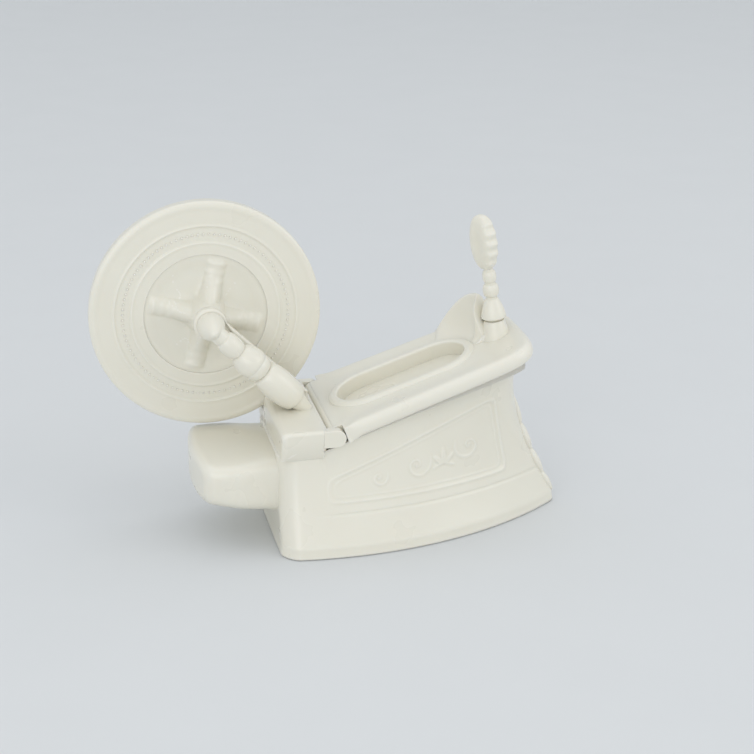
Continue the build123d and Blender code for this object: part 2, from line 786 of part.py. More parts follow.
# ---------------------------------------------------------------- lid
with BuildPart() as lid_plate:
    with BuildSketch(lid_plane):
        add(lid_outline(0))
    extrude(amount=-lid_thickness)
    rim = lid_plate.edges().filter_by(GeomType.CIRCLE)
    fillet(rim, rim_round)
    with BuildSketch(Plane.XZ):
        with Locations((pin_x, pin_height)):
            Circle(barrel_radius)
    extrude(amount=ear_outer_y, both=True)
    for side in (1, -1):
        with BuildSketch(lid_plane.offset(1)):
            with Locations((0, side * (ear_inner_y - ear_gap + 20))):
                Rectangle(2 * (barrel_radius + 1), 40)
        extrude(amount=-lid_thickness - 2, mode=Mode.SUBTRACT)
    with BuildSketch(Plane.XZ):
        with Locations((pin_x, pin_height)):
            Circle(pin_radius + pin_clearance)
    extrude(amount=big, both=True, mode=Mode.SUBTRACT)
    with BuildSketch(lid_plane):
        with Locations((opening_centre, 0)):
            SlotOverall(opening_length + 2 * collar_wall, opening_width + 2 * collar_wall)
    extrude(amount=-lid_thickness, mode=Mode.SUBTRACT)
    with BuildSketch(catch_plane.offset(-big / 2)):
        Circle(spindle_radius + spindle_clearance)
    extrude(amount=big, mode=Mode.SUBTRACT)
finish_piece(lid_plate, "lid_plate")

with BuildPart() as opening_collar:
    with BuildSketch(lid_plane):
        with Locations((opening_centre, 0)):
            SlotOverall(
                opening_length + 2 * (collar_wall + collar_flange),
                opening_width + 2 * (collar_wall + collar_flange),
            )
    extrude(amount=collar_rise)
    fillet(opening_collar.faces().sort_by(Axis(lid_plane.origin, lid_plane.z_dir))[-1].edges(), 1.0)
    with BuildSketch(lid_plane):
        with Locations((opening_centre, 0)):
            SlotOverall(opening_length + 2 * collar_wall, opening_width + 2 * collar_wall)
    extrude(amount=-lid_thickness)
    with BuildSketch(lid_plane.offset(collar_rise)):
        with Locations((opening_centre, 0)):
            SlotOverall(opening_length, opening_width)
    extrude(amount=-lid_thickness - collar_rise, mode=Mode.SUBTRACT)
finish_piece(opening_collar, "opening_collar")

with BuildPart() as recess_floor:
    with BuildSketch(lid_plane.offset(-lid_thickness)):
        with Locations((opening_centre, 0)):
            SlotOverall(opening_length, opening_width)
    extrude(amount=recess_floor_thickness)
finish_piece(recess_floor, "recess_floor")

with BuildPart() as post_cone:
    with BuildSketch(catch_plane.offset(-6)):
        Circle(cone_base_radius + 0.8)
    with BuildSketch(catch_plane.offset(cone_height)):
        Circle(cone_top_radius)
    loft()
    split(bisect_by=lid_plane, keep=Keep.TOP)
    with BuildSketch(catch_plane.offset(-big / 2)):
        Circle(spindle_radius + spindle_clearance)
    extrude(amount=big, mode=Mode.SUBTRACT)
finish_piece(post_cone, "post_cone")

with BuildPart() as prow_wing:
    with BuildSketch(Plane.XZ):
        with BuildLine():
            rear_end = (catch_x - wing_reach, lid_top(catch_x - wing_reach))
            crown = (catch_x - 3, lid_top(catch_x - 3) + wing_rise)
            front_end = (catch_x + 10, lid_top(catch_x + 10))
            TangentArc(rear_end, crown, tangent=(slope_cos, slope_sin))
            Polyline(crown, (catch_x + 1, crown[1] - 1), front_end, rear_end)
        make_face()
    extrude(amount=-wing_width)
    with BuildSketch(lid_plane):
        add(lid_outline(rim_round - 0.5))
    extrude(amount=60, mode=Mode.INTERSECT)
    with BuildSketch(catch_plane.offset(-10)):
        Circle(cone_base_radius + 1.0)
    extrude(amount=60, mode=Mode.SUBTRACT)
    with BuildSketch(lid_plane):
        with Locations((opening_centre, 0)):
            SlotOverall(
                opening_length + 2 * (collar_wall + collar_flange),
                opening_width + 2 * (collar_wall + collar_flange),
            )
    extrude(amount=60, mode=Mode.SUBTRACT)
finish_piece(prow_wing, "prow_wing")

# ---------------------------------------------------------------- catch
post_base = cone_height + post_joint
with BuildPart() as catch_post:
    with BuildSketch(Plane(origin=catch_plane.origin, x_dir=catch_plane.x_dir, z_dir=(0, -1, 0))):
        with BuildLine():
            foot = (cone_top_radius - 0.6, post_base)
            here = foot
            for middle, end in post_arcs:
                ThreePointArc(here, middle, end)
                here = end
            Polyline(here, (0, post_top), (0, post_base), foot)
        make_face()
    revolve(axis=Axis(catch_plane.origin, catch_plane.z_dir))
    with BuildSketch(catch_plane.offset(post_base)):
        Circle(spindle_thread_radius)
    extrude(amount=spindle_socket, mode=Mode.SUBTRACT)
finish_piece(catch_post, "catch_post")

head_dir = Vector(cos(radians(head_turn)), -sin(radians(head_turn)), 0)
head_plane = Plane(
    origin=catch_plane.from_local_coords(Vector(0, 0, post_top + head_height / 2)),
    x_dir=catch_plane.x_dir * head_dir.X + Vector(0, 1, 0) * head_dir.Y,
    z_dir=catch_plane.x_dir * head_dir.Y - Vector(0, 1, 0) * head_dir.X,
)
with BuildPart() as catch_head:
    with BuildSketch(head_plane):
        Ellipse(head_width / 2, head_height / 2)
    extrude(amount=head_thickness / 2, both=True)
    fillet(catch_head.edges(), head_thickness * 0.36)
finish_piece(catch_head, "catch_head")

with BuildPart() as catch_spindle:
    with BuildSketch(catch_plane.offset(-tongue_drop - tongue_thickness - spindle_end)):
        Circle(spindle_thread_radius)
    extrude(amount=tongue_drop + tongue_thickness + spindle_end + post_base + spindle_socket)
    with BuildSketch(catch_plane.offset(-tongue_drop)):
        Circle(spindle_radius)
    extrude(amount=tongue_drop + post_base)
finish_piece(catch_spindle, "catch_spindle")

with BuildPart() as catch_tongue:
    with BuildSketch(catch_plane.offset(-tongue_drop)):
        Circle(tongue_eye_radius)
        with PolarLocations(tongue_length / 2, 1, start_angle=90 + tongue_rest):
            Rectangle(tongue_length, tongue_width)
        Circle(spindle_thread_radius, mode=Mode.SUBTRACT)
    extrude(amount=-tongue_thickness)
finish_piece(catch_tongue, "catch_tongue")

with BuildPart() as catch_nut:
    with BuildSketch(catch_plane.offset(-tongue_drop - tongue_thickness)):
        RegularPolygon(nut_radius, 6, major_radius=False)
        Circle(spindle_thread_radius, mode=Mode.SUBTRACT)
    extrude(amount=-catch_nut_height)
finish_piece(catch_nut, "catch_nut")
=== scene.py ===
import json
from math import cos, pi, radians, sin, tan
import bpy
import numpy as np
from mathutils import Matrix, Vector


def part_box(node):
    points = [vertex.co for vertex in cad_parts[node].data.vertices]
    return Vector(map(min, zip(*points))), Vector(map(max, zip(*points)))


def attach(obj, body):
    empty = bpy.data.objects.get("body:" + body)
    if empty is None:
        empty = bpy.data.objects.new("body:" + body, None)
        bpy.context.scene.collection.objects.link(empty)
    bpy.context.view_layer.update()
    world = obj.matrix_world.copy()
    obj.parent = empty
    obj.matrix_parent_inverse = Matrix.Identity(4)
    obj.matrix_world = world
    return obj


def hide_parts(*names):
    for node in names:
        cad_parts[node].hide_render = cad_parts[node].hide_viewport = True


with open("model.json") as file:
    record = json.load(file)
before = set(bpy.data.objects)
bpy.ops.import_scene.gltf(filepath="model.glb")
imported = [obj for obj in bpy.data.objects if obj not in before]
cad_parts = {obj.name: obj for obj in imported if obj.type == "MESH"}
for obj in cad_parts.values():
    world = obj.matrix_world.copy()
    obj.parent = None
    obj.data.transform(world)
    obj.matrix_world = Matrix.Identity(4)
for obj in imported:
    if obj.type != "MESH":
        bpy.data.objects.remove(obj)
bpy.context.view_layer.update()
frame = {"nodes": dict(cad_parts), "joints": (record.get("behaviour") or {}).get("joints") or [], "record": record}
joints = {joint["name"]: joint for joint in frame["joints"]}
print("frame loaded:", len(frame["nodes"]), "nodes")

# All shapes are worked out in millimetres and scaled once, when the mesh is made.
mm = 0.001


def unit(vectors):
    # each vector divided by its length
    return vectors / np.maximum(np.linalg.norm(vectors, axis=-1, keepdims=True), 1e-9)


def ease(start, end, value):
    # 0 before the start, 1 after the end, and 3t^2 - 2t^3 in between
    t = np.clip((value - start) / (end - start), 0, 1)
    return t * t * (3 - 2 * t)


def fullTurn(count):
    # that many even steps round the circle, without its end
    return np.linspace(0, 2 * pi, count, endpoint=False)


def joined(*parts, axis=0):
    # arrays end to end
    return np.concatenate(parts, axis)


def together(*parts):
    # coordinates spread to one shape and put side by side
    return np.stack(np.broadcast_arrays(*parts), -1)


def bell(value, width):
    # exp of minus the square of value over width
    return np.exp(-((value / width) ** 2))


# Meshes

def gridFaces(rows, columns, closedRows, closedColumns):
    # quads between neighbours of a grid of points
    number = np.arange(rows * columns).reshape(rows, columns)
    if closedRows:
        number = np.vstack([number, number[:1]])
    if closedColumns:
        number = np.hstack([number, number[:, :1]])
    corners = (number[:-1, :-1], number[:-1, 1:], number[1:, 1:], number[1:, :-1])
    return np.stack(corners, -1).reshape(-1, 4)


def signedVolume(points, quads):
    # a sixth of the sum of the triple products of the two triangles of each quad
    a, b, c, d = (points[quads[:, i]] for i in range(4))
    return np.sum(a * (np.cross(b, c) + np.cross(c, d))) / 6


def surface(grid, closedRows=False):
    # a grid of points as (points, quads) facing outwards; its columns close up, and its first and
    # last rows either meet or each shrink to their own middle, as quads with two corners there
    if not closedRows:
        middles = grid[[0, -1]].mean(1, keepdims=True) + 0 * grid[[0, -1]]
        grid = joined(middles[:1], grid, middles[1:])
    points = grid.reshape(-1, 3)
    quads = gridFaces(*grid.shape[:2], closedRows, True)
    if signedVolume(points, quads) < 0:
        quads = quads[:, ::-1]
    return points, quads


def makeObject(name, points, faces, material):
    # a smooth mesh from points in millimetres, linked into the scene
    mesh = bpy.data.meshes.new(name)
    mesh.from_pydata((points * mm).tolist(), [], faces)
    mesh.polygons.foreach_set("use_smooth", np.ones(len(faces), bool))
    mesh.materials.append(material)
    mesh.update()
    made = bpy.data.objects.new(name, mesh)
    bpy.context.scene.collection.objects.link(made)
    return made


def addPiece(name, surfaces, body, replaced, slot="cream_glaze", material=None):
    # one object from one or more surfaces, in place of CAD nodes; its doubles are merged, so
    # poles become single points and the quads round them triangles
    points = np.concatenate([points for points, quads in surfaces])
    starts = np.cumsum([0] + [len(points) for points, quads in surfaces[:-1]])
    quads = np.concatenate([quads + start for (_, quads), start in zip(surfaces, starts)])
    rounded, index = np.unique(np.round(points, 4), axis=0, return_inverse=True)
    quads = index.reshape(-1)[quads]
    faces = [tuple(dict.fromkeys(quad)) for quad in quads.tolist()]
    faces = [face for face in faces if len(face) > 2]
    piece = makeObject(name, rounded, faces, material or slotMaterials[slot])
    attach(piece, body)
    if replaced:
        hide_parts(*replaced)
    print("made", name, len(faces), "faces")


# Outlines and profiles

def roundedPath(corners, steps=6, closed=False):
    # corners (x, y, radius): each is drawn as a parabola between points a radius along its sides
    corners = np.array(corners, float)
    places, reach = corners[:, :2], corners[:, 2:]
    before, after = np.roll(places, 1, 0), np.roll(places, -1, 0)
    start = places + reach * unit(before - places)
    end = places + reach * unit(after - places)
    if not closed:
        start[0] = end[0] = places[0]
        start[-1] = end[-1] = places[-1]
    t = np.linspace(0, 1, steps)[None, :, None]
    curve = (1 - t) ** 2 * start[:, None] + 2 * t * (1 - t) * places[:, None] + t**2 * end[:, None]
    path = curve.reshape(-1, 2)
    keep = np.linalg.norm(path - np.roll(path, 1, 0), axis=1) > 1e-4
    return path[keep | (np.arange(len(path)) == 0)]


def closedPath(corners, spacing):
    # a closed rounded path with evenly spaced points
    return resampled(roundedPath(corners, closed=True), spacing, closed=True)


def resampled(path, spacing, closed=False):
    # points every so far along a path, with straight lines between its own points
    if closed:
        path = np.vstack([path, path[:1]])
    along = joined([0], np.cumsum(np.linalg.norm(np.diff(path, axis=0), axis=1)))
    count = max(int(along[-1] / spacing), 4)
    places = np.linspace(0, along[-1], count + 1)
    result = np.stack([np.interp(places, along, path[:, i]) for i in range(path.shape[1])], -1)
    return result[:-1] if closed else result


def outlineNormals(outline):
    # the outward normal in plan at each point of a closed outline, from its two neighbours; the
    # sign of the area tells which way round the outline runs
    x, y = outline[:, 0], outline[:, 1]
    tangent = unit(np.roll(outline, -1, 0) - np.roll(outline, 1, 0))
    normal = together(tangent[:, 1], -tangent[:, 0])
    area = np.sum(x * np.roll(y, -1) - np.roll(x, -1) * y)
    return normal if area > 0 else -normal


def turned(origin, axis, profile, spacing, columns=96):
    # a (distance along the axis, radius) profile carried round the axis
    profile = resampled(np.array(profile, float), spacing)
    axis = unit(np.array(axis, float))
    across = unit(np.cross(axis, [0.3, 1.0, 0.2]))
    third = np.cross(axis, across)
    angle = fullTurn(columns)[None, :, None]
    along, radius = profile[:, 0][:, None, None], profile[:, 1][:, None, None]
    ring = np.cos(angle) * across + np.sin(angle) * third
    return surface(np.array(origin) + along * axis + radius * ring)


def slab(outline, low, high, edge, place):
    # a closed outline carried from one face to the other, drawn in by a quarter circle at each
    # edge; each face is made of smaller copies of the outline, shrunk evenly to its middle
    turn = np.linspace(0, pi / 2, 7)
    inset = edge * (1 - np.sin(turn))
    rise = edge * (1 - np.cos(turn))
    insets = joined(inset, inset[::-1])[:, None, None]
    heights = joined(low + rise, high - rise[::-1])[:, None, None]
    plan = outline[None] - insets * outlineNormals(outline)[None]
    side = joined(plan, heights + 0 * plan[..., :1], axis=-1)
    middle = plan[:1].mean(1, keepdims=True)
    shrink = np.linspace(0.08, 0.94, 8)[:, None, None]
    facePlan = middle + (plan[:1] - middle) * shrink
    level = 0 * facePlan[..., :1]
    lowFace = joined(facePlan, low + level, axis=-1)
    highFace = joined(facePlan[::-1], high + level, axis=-1)
    return surface(place(joined(lowFace, side, highFace)))


def acrossPlace(grid):
    # outline in X and Z, thickness along Y
    return together(grid[..., 0], grid[..., 2], grid[..., 1])


# Materials

def linearColour(code):
    # sRGB hex to linear light
    values = np.array([int(code[i:i + 2], 16) / 255 for i in (1, 3, 5)])
    linear = np.where(values <= 0.04045, values / 12.92, ((values + 0.055) / 1.055) ** 2.4)
    return (*linear.tolist(), 1.0)


def addNode(material, kind, settings=None, links=None):
    # one node with its plain settings, its input values and what feeds its inputs
    node = material.node_tree.nodes.new(kind)
    for key, value in (settings or {}).items():
        if isinstance(key, str) and hasattr(node, key):
            setattr(node, key, value)
        else:
            node.inputs[key].default_value = value
    for key, output in (links or {}).items():
        material.node_tree.links.new(output, node.inputs[key])
    return node


def newMaterial(name):
    # an empty node material, and the object coordinates that its patterns are laid out in
    material = bpy.data.materials.new(name)
    material.use_nodes = True
    material.node_tree.nodes.clear()
    return material, addNode(material, "ShaderNodeTexCoord").outputs["Object"]


def finishMaterial(material, settings, links):
    # the surface shader, joined to the output
    shader = addNode(material, "ShaderNodeBsdfPrincipled", settings, links)
    addNode(material, "ShaderNodeOutputMaterial", links={"Surface": shader.outputs[0]})
    return material


def noiseNode(material, place, size, detail, roughness=0.5):
    # noise whose clouds are about size millimetres across
    return addNode(material, "ShaderNodeTexNoise", {
        "Scale": 1 / (size * mm), "Detail": detail, "Roughness": roughness,
    }, {"Vector": place}).outputs["Fac"]


def bumpNode(material, height, strength, depth, under=None):
    # bump from a height of 0 to 1 that stands for depth millimetres, over another bump if given
    links = {"Height": height}
    if under:
        links["Normal"] = under
    settings = {"Strength": strength, "Distance": depth * mm}
    return addNode(material, "ShaderNodeBump", settings, links).outputs[0]


def rangeNode(material, value, start, end, low=0.0, high=1.0):
    # low before the start, high after the end, and a straight line in between
    settings = {1: start, 2: end, 3: low, 4: high}
    return addNode(material, "ShaderNodeMapRange", settings, {0: value}).outputs[0]


def rampNode(material, factor, *stops):
    # a colour ramp with (position, sRGB hex) stops
    ramp = addNode(material, "ShaderNodeValToRGB", links={"Fac": factor})
    first, last = ramp.color_ramp.elements[0], ramp.color_ramp.elements[1]
    first.position, first.color = stops[0][0], linearColour(stops[0][1])
    last.position, last.color = stops[-1][0], linearColour(stops[-1][1])
    for position, code in stops[1:-1]:
        ramp.color_ramp.elements.new(position).color = linearColour(code)
    return ramp.outputs["Color"]


creamGlaze = {
    "thick": "#e2decf",       # where the glaze pools
    "plain": "#e5e2d4",
    "thin": "#ebe8de",        # painted highlight: a lighter cream over sharp convex edges
    "roughness": 0.30,
    "cloudSize": 26.0,        # mm across one cloud of deeper colour
    "wavePitch": 5.0,         # mm between the slow waves of the glaze
    "waveDepth": 0.035,       # mm
    "pinholePitch": 2.6,      # mm between pinholes
    "pinholeDepth": 0.02,     # mm
    "bleed": 1.2,             # mm that light travels under the surface
}


def glazedEarthenware():
    # Slip-cast earthenware under an opaque cream glaze: milky, soft at the edges, with a clear
    # wet top layer that gives broad soft highlights and a few tiny pinholes.
    look = creamGlaze
    material, place = newMaterial("creamGlazedEarthenware")
    clouds = noiseNode(material, place, look["cloudSize"], 3.0)
    base = rampNode(material, clouds, (0.15, look["thick"]), (0.85, look["plain"]))
    edges = addNode(material, "ShaderNodeNewGeometry").outputs["Pointiness"]
    # sharp convex edges, found by pointiness, are mixed towards the lighter cream: a painted highlight
    colour = addNode(material, "ShaderNodeMix", {
        "data_type": "RGBA", 7: linearColour(look["thin"]),
    }, {0: rangeNode(material, edges, 0.49, 0.56), 6: base}).outputs[2]
    waves = noiseNode(material, place, look["wavePitch"], 1.0)
    pits = addNode(material, "ShaderNodeTexVoronoi", {
        "Scale": 1 / (look["pinholePitch"] * mm), "Randomness": 1.0,
    }, {"Vector": place}).outputs["Distance"]
    pits = rangeNode(material, pits, 0.02, 0.09)
    soft = bumpNode(material, waves, 0.5, look["waveDepth"])
    rough = look["roughness"]
    return finishMaterial(material, {
        "IOR": 1.5, "Metallic": 0.0, "Coat Weight": 0.35, "Coat Roughness": 0.16,
        "Subsurface Weight": 0.12, "Subsurface Scale": look["bleed"] * mm,
        "Subsurface Radius": (1.0, 0.8, 0.6),
    }, {
        "Base Color": colour,
        "Roughness": rangeNode(material, clouds, 0.3, 0.7, rough - 0.04, rough + 0.05),
        "Normal": bumpNode(material, pits, 0.2, look["pinholeDepth"], soft),
    })


def unglazedBiscuit():
    # The wiped foot of the casting: fired clay with no glaze, chalky and finely grained.
    material, place = newMaterial("unglazedBiscuitFoot")
    grain = noiseNode(material, place, 1.4, 6.0)
    return finishMaterial(material, {"Roughness": 0.85}, {
        "Base Color": rampNode(material, grain, (0.3, "#d9cfba"), (0.7, "#e9e2d2")),
        "Normal": bumpNode(material, grain, 0.5, 0.06),
    })


def turnedMetal(name, dark, light, roughness, pitch):
    # Metal cut on a lathe or drawn to size: bright, with fine tool lines that stretch highlights.
    material, place = newMaterial(name)
    stretch = {"Scale": (1.0, 6.0, 1.0)}
    stretched = addNode(material, "ShaderNodeMapping", stretch, {"Vector": place}).outputs[0]
    lines = noiseNode(material, stretched, pitch, 4.0, 0.6)
    return finishMaterial(material, {"Metallic": 1.0}, {
        "Base Color": rampNode(material, lines, (0.25, dark), (0.75, light)),
        "Roughness": rangeNode(material, lines, 0.2, 0.8, roughness - 0.07, roughness + 0.10),
        "Normal": bumpNode(material, lines, 0.3, 0.02),
    })


def sandCastIron():
    # Grey iron as it leaves the sand: dull, pitted at about a millimetre, brown where it rusts.
    material, place = newMaterial("sandCastIron")
    sand = noiseNode(material, place, 1.0, 6.0)
    rust = noiseNode(material, place, 9.0, 4.0)
    colour = rampNode(material, rust, (0.42, "#34322f"), (0.58, "#41392f"), (0.70, "#5a4230"))
    return finishMaterial(material, {"Metallic": 0.35, "Roughness": 0.62}, {
        "Base Color": colour, "Normal": bumpNode(material, sand, 0.7, 0.15),
    })


def paperSweep():
    # Matt backdrop paper, pale grey with the faintest mottling.
    material, place = newMaterial("mattBackdropPaper")
    fibre = noiseNode(material, place, 60, 2.0)
    return finishMaterial(material, {"Roughness": 0.9, "Specular IOR Level": 0.2}, {
        "Base Color": rampNode(material, fibre, (0.3, "#dadcdd"), (0.7, "#dbddde")),
    })


slotMaterials = {
    "cream_glaze": glazedEarthenware(),
    "steel_fixings": turnedMetal("turnedMildSteel", "#8d8f92", "#b4b6b9", 0.32, 0.5),
    "brass_bearing": turnedMetal("turnedBrass", "#b08a48", "#cfab68", 0.28, 0.4),
    "iron_fittings": sandCastIron(),
}
for subpart in frame["record"]["subparts"]:
    node = frame["nodes"][subpart["node"]]
    node.data.materials.clear()
    node.data.materials.append(slotMaterials[subpart["material_slot"]])
print("materials assigned")


# Places that several pieces share, from the frame

def millimetres(vector):
    return np.array(vector, float) * 1000


axle = millimetres(joints["wheel_spin"]["pos_m"])
pin = millimetres(joints["lid_swing"]["pos_m"])
catchFoot = millimetres(joints["catch_turn"]["pos_m"])
catchUp = unit(np.array(joints["catch_turn"]["axis"], float))
soleTip = millimetres(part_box("sole_plate")[1])[0]
blockLow, blockHigh = (millimetres(corner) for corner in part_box("hinge_block"))
tankLow, tankHigh = (millimetres(corner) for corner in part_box("tank_floor"))
tankTop = millimetres(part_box("heel_tank")[1])[2]
wheelLow, wheelHigh = (millimetres(corner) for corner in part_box("wheel_disc"))

lid = {
    "slope": 18.8,            # degrees up towards the nose
    "thickness": 8.5,
    "length": 113.0,          # from the hinge pin to the blunt end, along the slope
    "rear": 4.75,             # of the deck, in front of the pin
    "knuckleHalf": 33.9,      # half the width between the ears
    "rearHalf": 39.9,
    "endHalf": 35.6,
    "bluntFrom": 66.0,        # where the end's superellipse starts
    "bluntness": 5.0,         # its exponent
    "edge": 3.9,              # roll of the rim
    "edgeFrom": 5.4,          # where the roll starts to grow, and where it is whole
    "edgeWhole": 14.0,
    "dish": 0.5,              # hollow of the deck between rim and lip
    "slotMiddle": 45.5,
    "slotHalfSpine": 20.0,
    "slotRadius": 17.5,
}
slopeSin, slopeCos = sin(radians(lid["slope"])), cos(radians(lid["slope"]))
slopeAlong = np.array([slopeCos, 0, slopeSin])
slopeUp = np.array([-slopeSin, 0, slopeCos])
lidAxes = np.array([slopeAlong, [0, 1, 0], slopeUp])
lidOrigin = pin + slopeUp * lid["thickness"] / 2


def onLid(grid):
    # (along the slope, across, above the deck) to the frame
    return lidOrigin + grid @ lidAxes


def deckHeight(x):
    return lidOrigin[2] + (x - lidOrigin[0]) * slopeSin / slopeCos


def ironOutline(rear, tip, widest, halfWidth, tipRadius, corner, cornerPull, t):
    # plan of an iron, its numbers given at every point: t counts 0 to 4 round the half at +Y,
    # over the straight heel, the heel's corner (a conic), a side arc and a tip arc tangent to it
    reach = tip - tipRadius - widest
    sideRadius = (reach**2 + halfWidth**2 - tipRadius**2) / (2 * (halfWidth - tipRadius))
    centre = halfWidth - sideRadius
    joinAngle = np.arctan2(-centre, reach)
    rearY = centre + np.sqrt(sideRadius**2 - (rear - widest) ** 2)
    startAngle = np.arccos((rear + corner - widest) / sideRadius)
    cornerY = centre + sideRadius * np.sin(startAngle)
    a = np.clip(t - 1, 0, 1)
    first, pull, last = (1 - a) ** 2, 2 * cornerPull * a * (1 - a), a**2
    weight = first + pull + last
    cornerX = (first * rear + pull * rear + last * (rear + corner)) / weight
    cornerCurveY = (first * (rearY - corner) + pull * rearY + last * cornerY) / weight
    side = startAngle + (joinAngle - startAngle) * np.clip(t - 2, 0, 1)
    nose = joinAngle * (1 - np.clip(t - 3, 0, 1))
    x = np.select(
        [t < 1, t < 2, t < 3],
        [rear, cornerX, widest + sideRadius * np.cos(side)],
        tip - tipRadius + tipRadius * np.cos(nose),
    )
    y = np.select(
        [t < 1, t < 2, t < 3],
        [(rearY - corner) * t, cornerCurveY, centre + sideRadius * np.sin(side)],
        tipRadius * np.sin(nose),
    )
    return x, y


def roundTrip(heel, corner, side, nose):
    # values of t for the +Y half, then mirrored for -Y: (t, sign of y), closed
    half = joined(
        np.linspace(0, 1, heel, endpoint=False), np.linspace(1, 2, corner, endpoint=False),
        np.linspace(2, 3, side, endpoint=False), np.linspace(3, 4, nose, endpoint=True),
    )
    t = joined(half, half[-2:0:-1])
    sign = joined(np.ones(len(half)), -np.ones(len(half) - 2))
    return t, sign


# The body: skirt, framed side panels, hollow moulding under the rim, and the open inside

body = {
    "heights": (6.0, 30.0, 60.0, 112.0),        # of the sections below
    "tips": (77.8, 65.0, 55.0, 64.0),
    "widest": (-48.0, -50.0, -55.0, -60.0),
    "halfWidths": (49.2, 40.5, 35.0, 33.0),
    "tipRadii": (5.0, 9.0, 18.0, 24.0),
    "rear": -78.2,
    "corner": 9.0,
    "cornerPull": 0.5,        # under 0.7 flattens the heel's corner to a soft chamfer
    "footFlare": 0.9,
    "ledge": 51.0,            # height of the level rim behind the lid
    "ledgeFront": -55.4,
    "wall": 4.0,
    "bottom": 0.6,            # lowest row of the outside, and the floor of the inside
    "insideFloor": 6.0,
    "mouldingHeight": 13.0,   # hollow moulding under the rim
    "rimInset": 1.6,
    "skirtTop": 21.5,
    "panelFoot": 27.0,
    "panelRear": -54.0,
    "panelNose": 47.0,        # at the panel's foot; it leans back by this share of the height
    "panelLean": 0.20,
    "panelTop": 15.5,         # below the underside of the rim
    "beadHeight": 0.55,
    "sunkDepth": 0.25,
    "grooveDepth": 0.5,
    "scrollHeight": 0.5,
    "scrolls": ((-6.0, 41.0, 8.0, 1), (24.0, 46.0, 8.5, -1), (-27.0, 37.5, 5.2, 1)),
    "palmette": (9.0, 39.0, 9.5),               # middle X and Z, and size
}


def bodySection(z, inset):
    # the numbers of the outline at a height: cubics through the four sections
    lift = np.maximum(z, body["heights"][0])
    flare = body["footFlare"] * (1 - np.clip(z / body["heights"][0], 0, 1)) ** 1.5

    def cubic(values):
        return np.polyval(np.polyfit(body["heights"], values, 3), lift)

    tip = cubic(body["tips"]) + flare - inset
    halfWidth = cubic(body["halfWidths"]) + 0.8 * flare - inset
    tipRadius = cubic(body["tipRadii"]) - 0.75 * inset
    rear = body["rear"] - 0.8 * flare + inset
    return rear, tip, cubic(body["widest"]), halfWidth, tipRadius


def bodyPlan(z, t, inset=0.0):
    rear, tip, widest, halfWidth, tipRadius = bodySection(z, inset)
    corner, pull = body["corner"], body["cornerPull"]
    return ironOutline(rear, tip, widest, halfWidth, tipRadius, corner, pull, t)


def rimHeight(x):
    # the top of the body: the level ledge behind, and the slope under the lid
    under = deckHeight(x) - (lid["thickness"] + 0.5) / slopeCos
    return np.where(x < body["ledgeFront"], body["ledge"], np.maximum(under, body["ledge"]))


def lidSide():
    # half of the lid's plan on its slope: a straight side that draws in, then a blunt end whose
    # length and width follow powers of the sine and the cosine
    turn = np.linspace(0, pi / 2, 160)
    power = 2 / lid["bluntness"]
    along = lid["bluntFrom"] + (lid["length"] - lid["bluntFrom"]) * np.sin(turn) ** power
    along = joined([lid["rear"]], along)
    taper = (along - lid["rear"]) / (lid["length"] - lid["rear"])
    half = lid["rearHalf"] + (lid["endHalf"] - lid["rearHalf"]) * taper
    half = half * joined([1], np.cos(turn) ** power)
    return resampled(together(along, half), 0.9)


def gapToRim(x, y):
    # how far the lid's outline stands outside a point of the plan: the way to its nearest point,
    # less the part of the rim that stays bare
    side = lidSide()
    edgeX = lidOrigin[0] + side[:, 0] * slopeCos
    away = np.hypot(x[..., None] - edgeX, np.abs(y)[..., None] - side[:, 1])
    return away.min(-1) - body["rimInset"]


def scroll(x, z, middleX, middleZ, size, hand):
    # a raised spiral: its radius is the exponential of the turn times the growth, out to its size
    dx, dz = (x - middleX) * hand, z - middleZ
    radius = np.hypot(dx, dz)
    growth = 0.26
    phase = np.log(np.maximum(radius, 0.3) / size) / growth - np.arctan2(dz, dx)
    offset = (phase + pi) % (2 * pi) - pi
    away = offset * growth * radius
    return bell(away, 0.30 + 0.075 * radius) * (1 - ease(size * 0.92, size * 1.12, radius))


def palmette(x, z, middleX, middleZ, size):
    # a fan of lobes: the radius of its edge swings with the cosine of seven times the angle
    dx, dz = x - middleX, z - middleZ
    radius, angle = np.hypot(dx, dz), np.arctan2(dx, dz)
    lobe = size * (0.72 + 0.28 * np.cos(angle * 7)) * (1 - 0.35 * np.abs(angle) / pi)
    return (1 - ease(0.72, 1.0, radius / lobe)) * (1 - ease(1.7, 2.1, np.abs(angle)))


def sideRelief(x, z):
    # height of the cast ornament over the wall: a groove over the skirt, a bead round the
    # panel with a thinner one inside it, and scrolls with a palmette in the middle; inside is the
    # distance outside the panel's four sides, its corners softened by a sum of exponentials
    top = rimHeight(x) - body["panelTop"]
    lean = (z - body["panelFoot"]) * body["panelLean"]
    sides = np.stack([
        body["panelFoot"] - z, body["panelRear"] - x, (z - top) * slopeCos,
        x - body["panelNose"] + lean,
    ])
    inside = np.log(np.exp(sides / 1.6).sum(0)) * 1.6
    bead = body["beadHeight"] * bell(inside + 0.4, 0.75)
    inner = 0.5 * body["beadHeight"] * bell(inside + 2.9, 0.5)
    sunk = -body["sunkDepth"] * (1 - ease(-2.2, -0.9, inside))
    groove = -body["grooveDepth"] * bell(z - body["skirtTop"], 0.55)
    figures = [scroll(x, z, *one) for one in body["scrolls"]] + [palmette(x, z, *body["palmette"])]
    ornament = np.maximum.reduce(figures) * (1 - ease(-4.5, -3.0, inside))
    return bead + inner + sunk + groove + body["scrollHeight"] * ornament


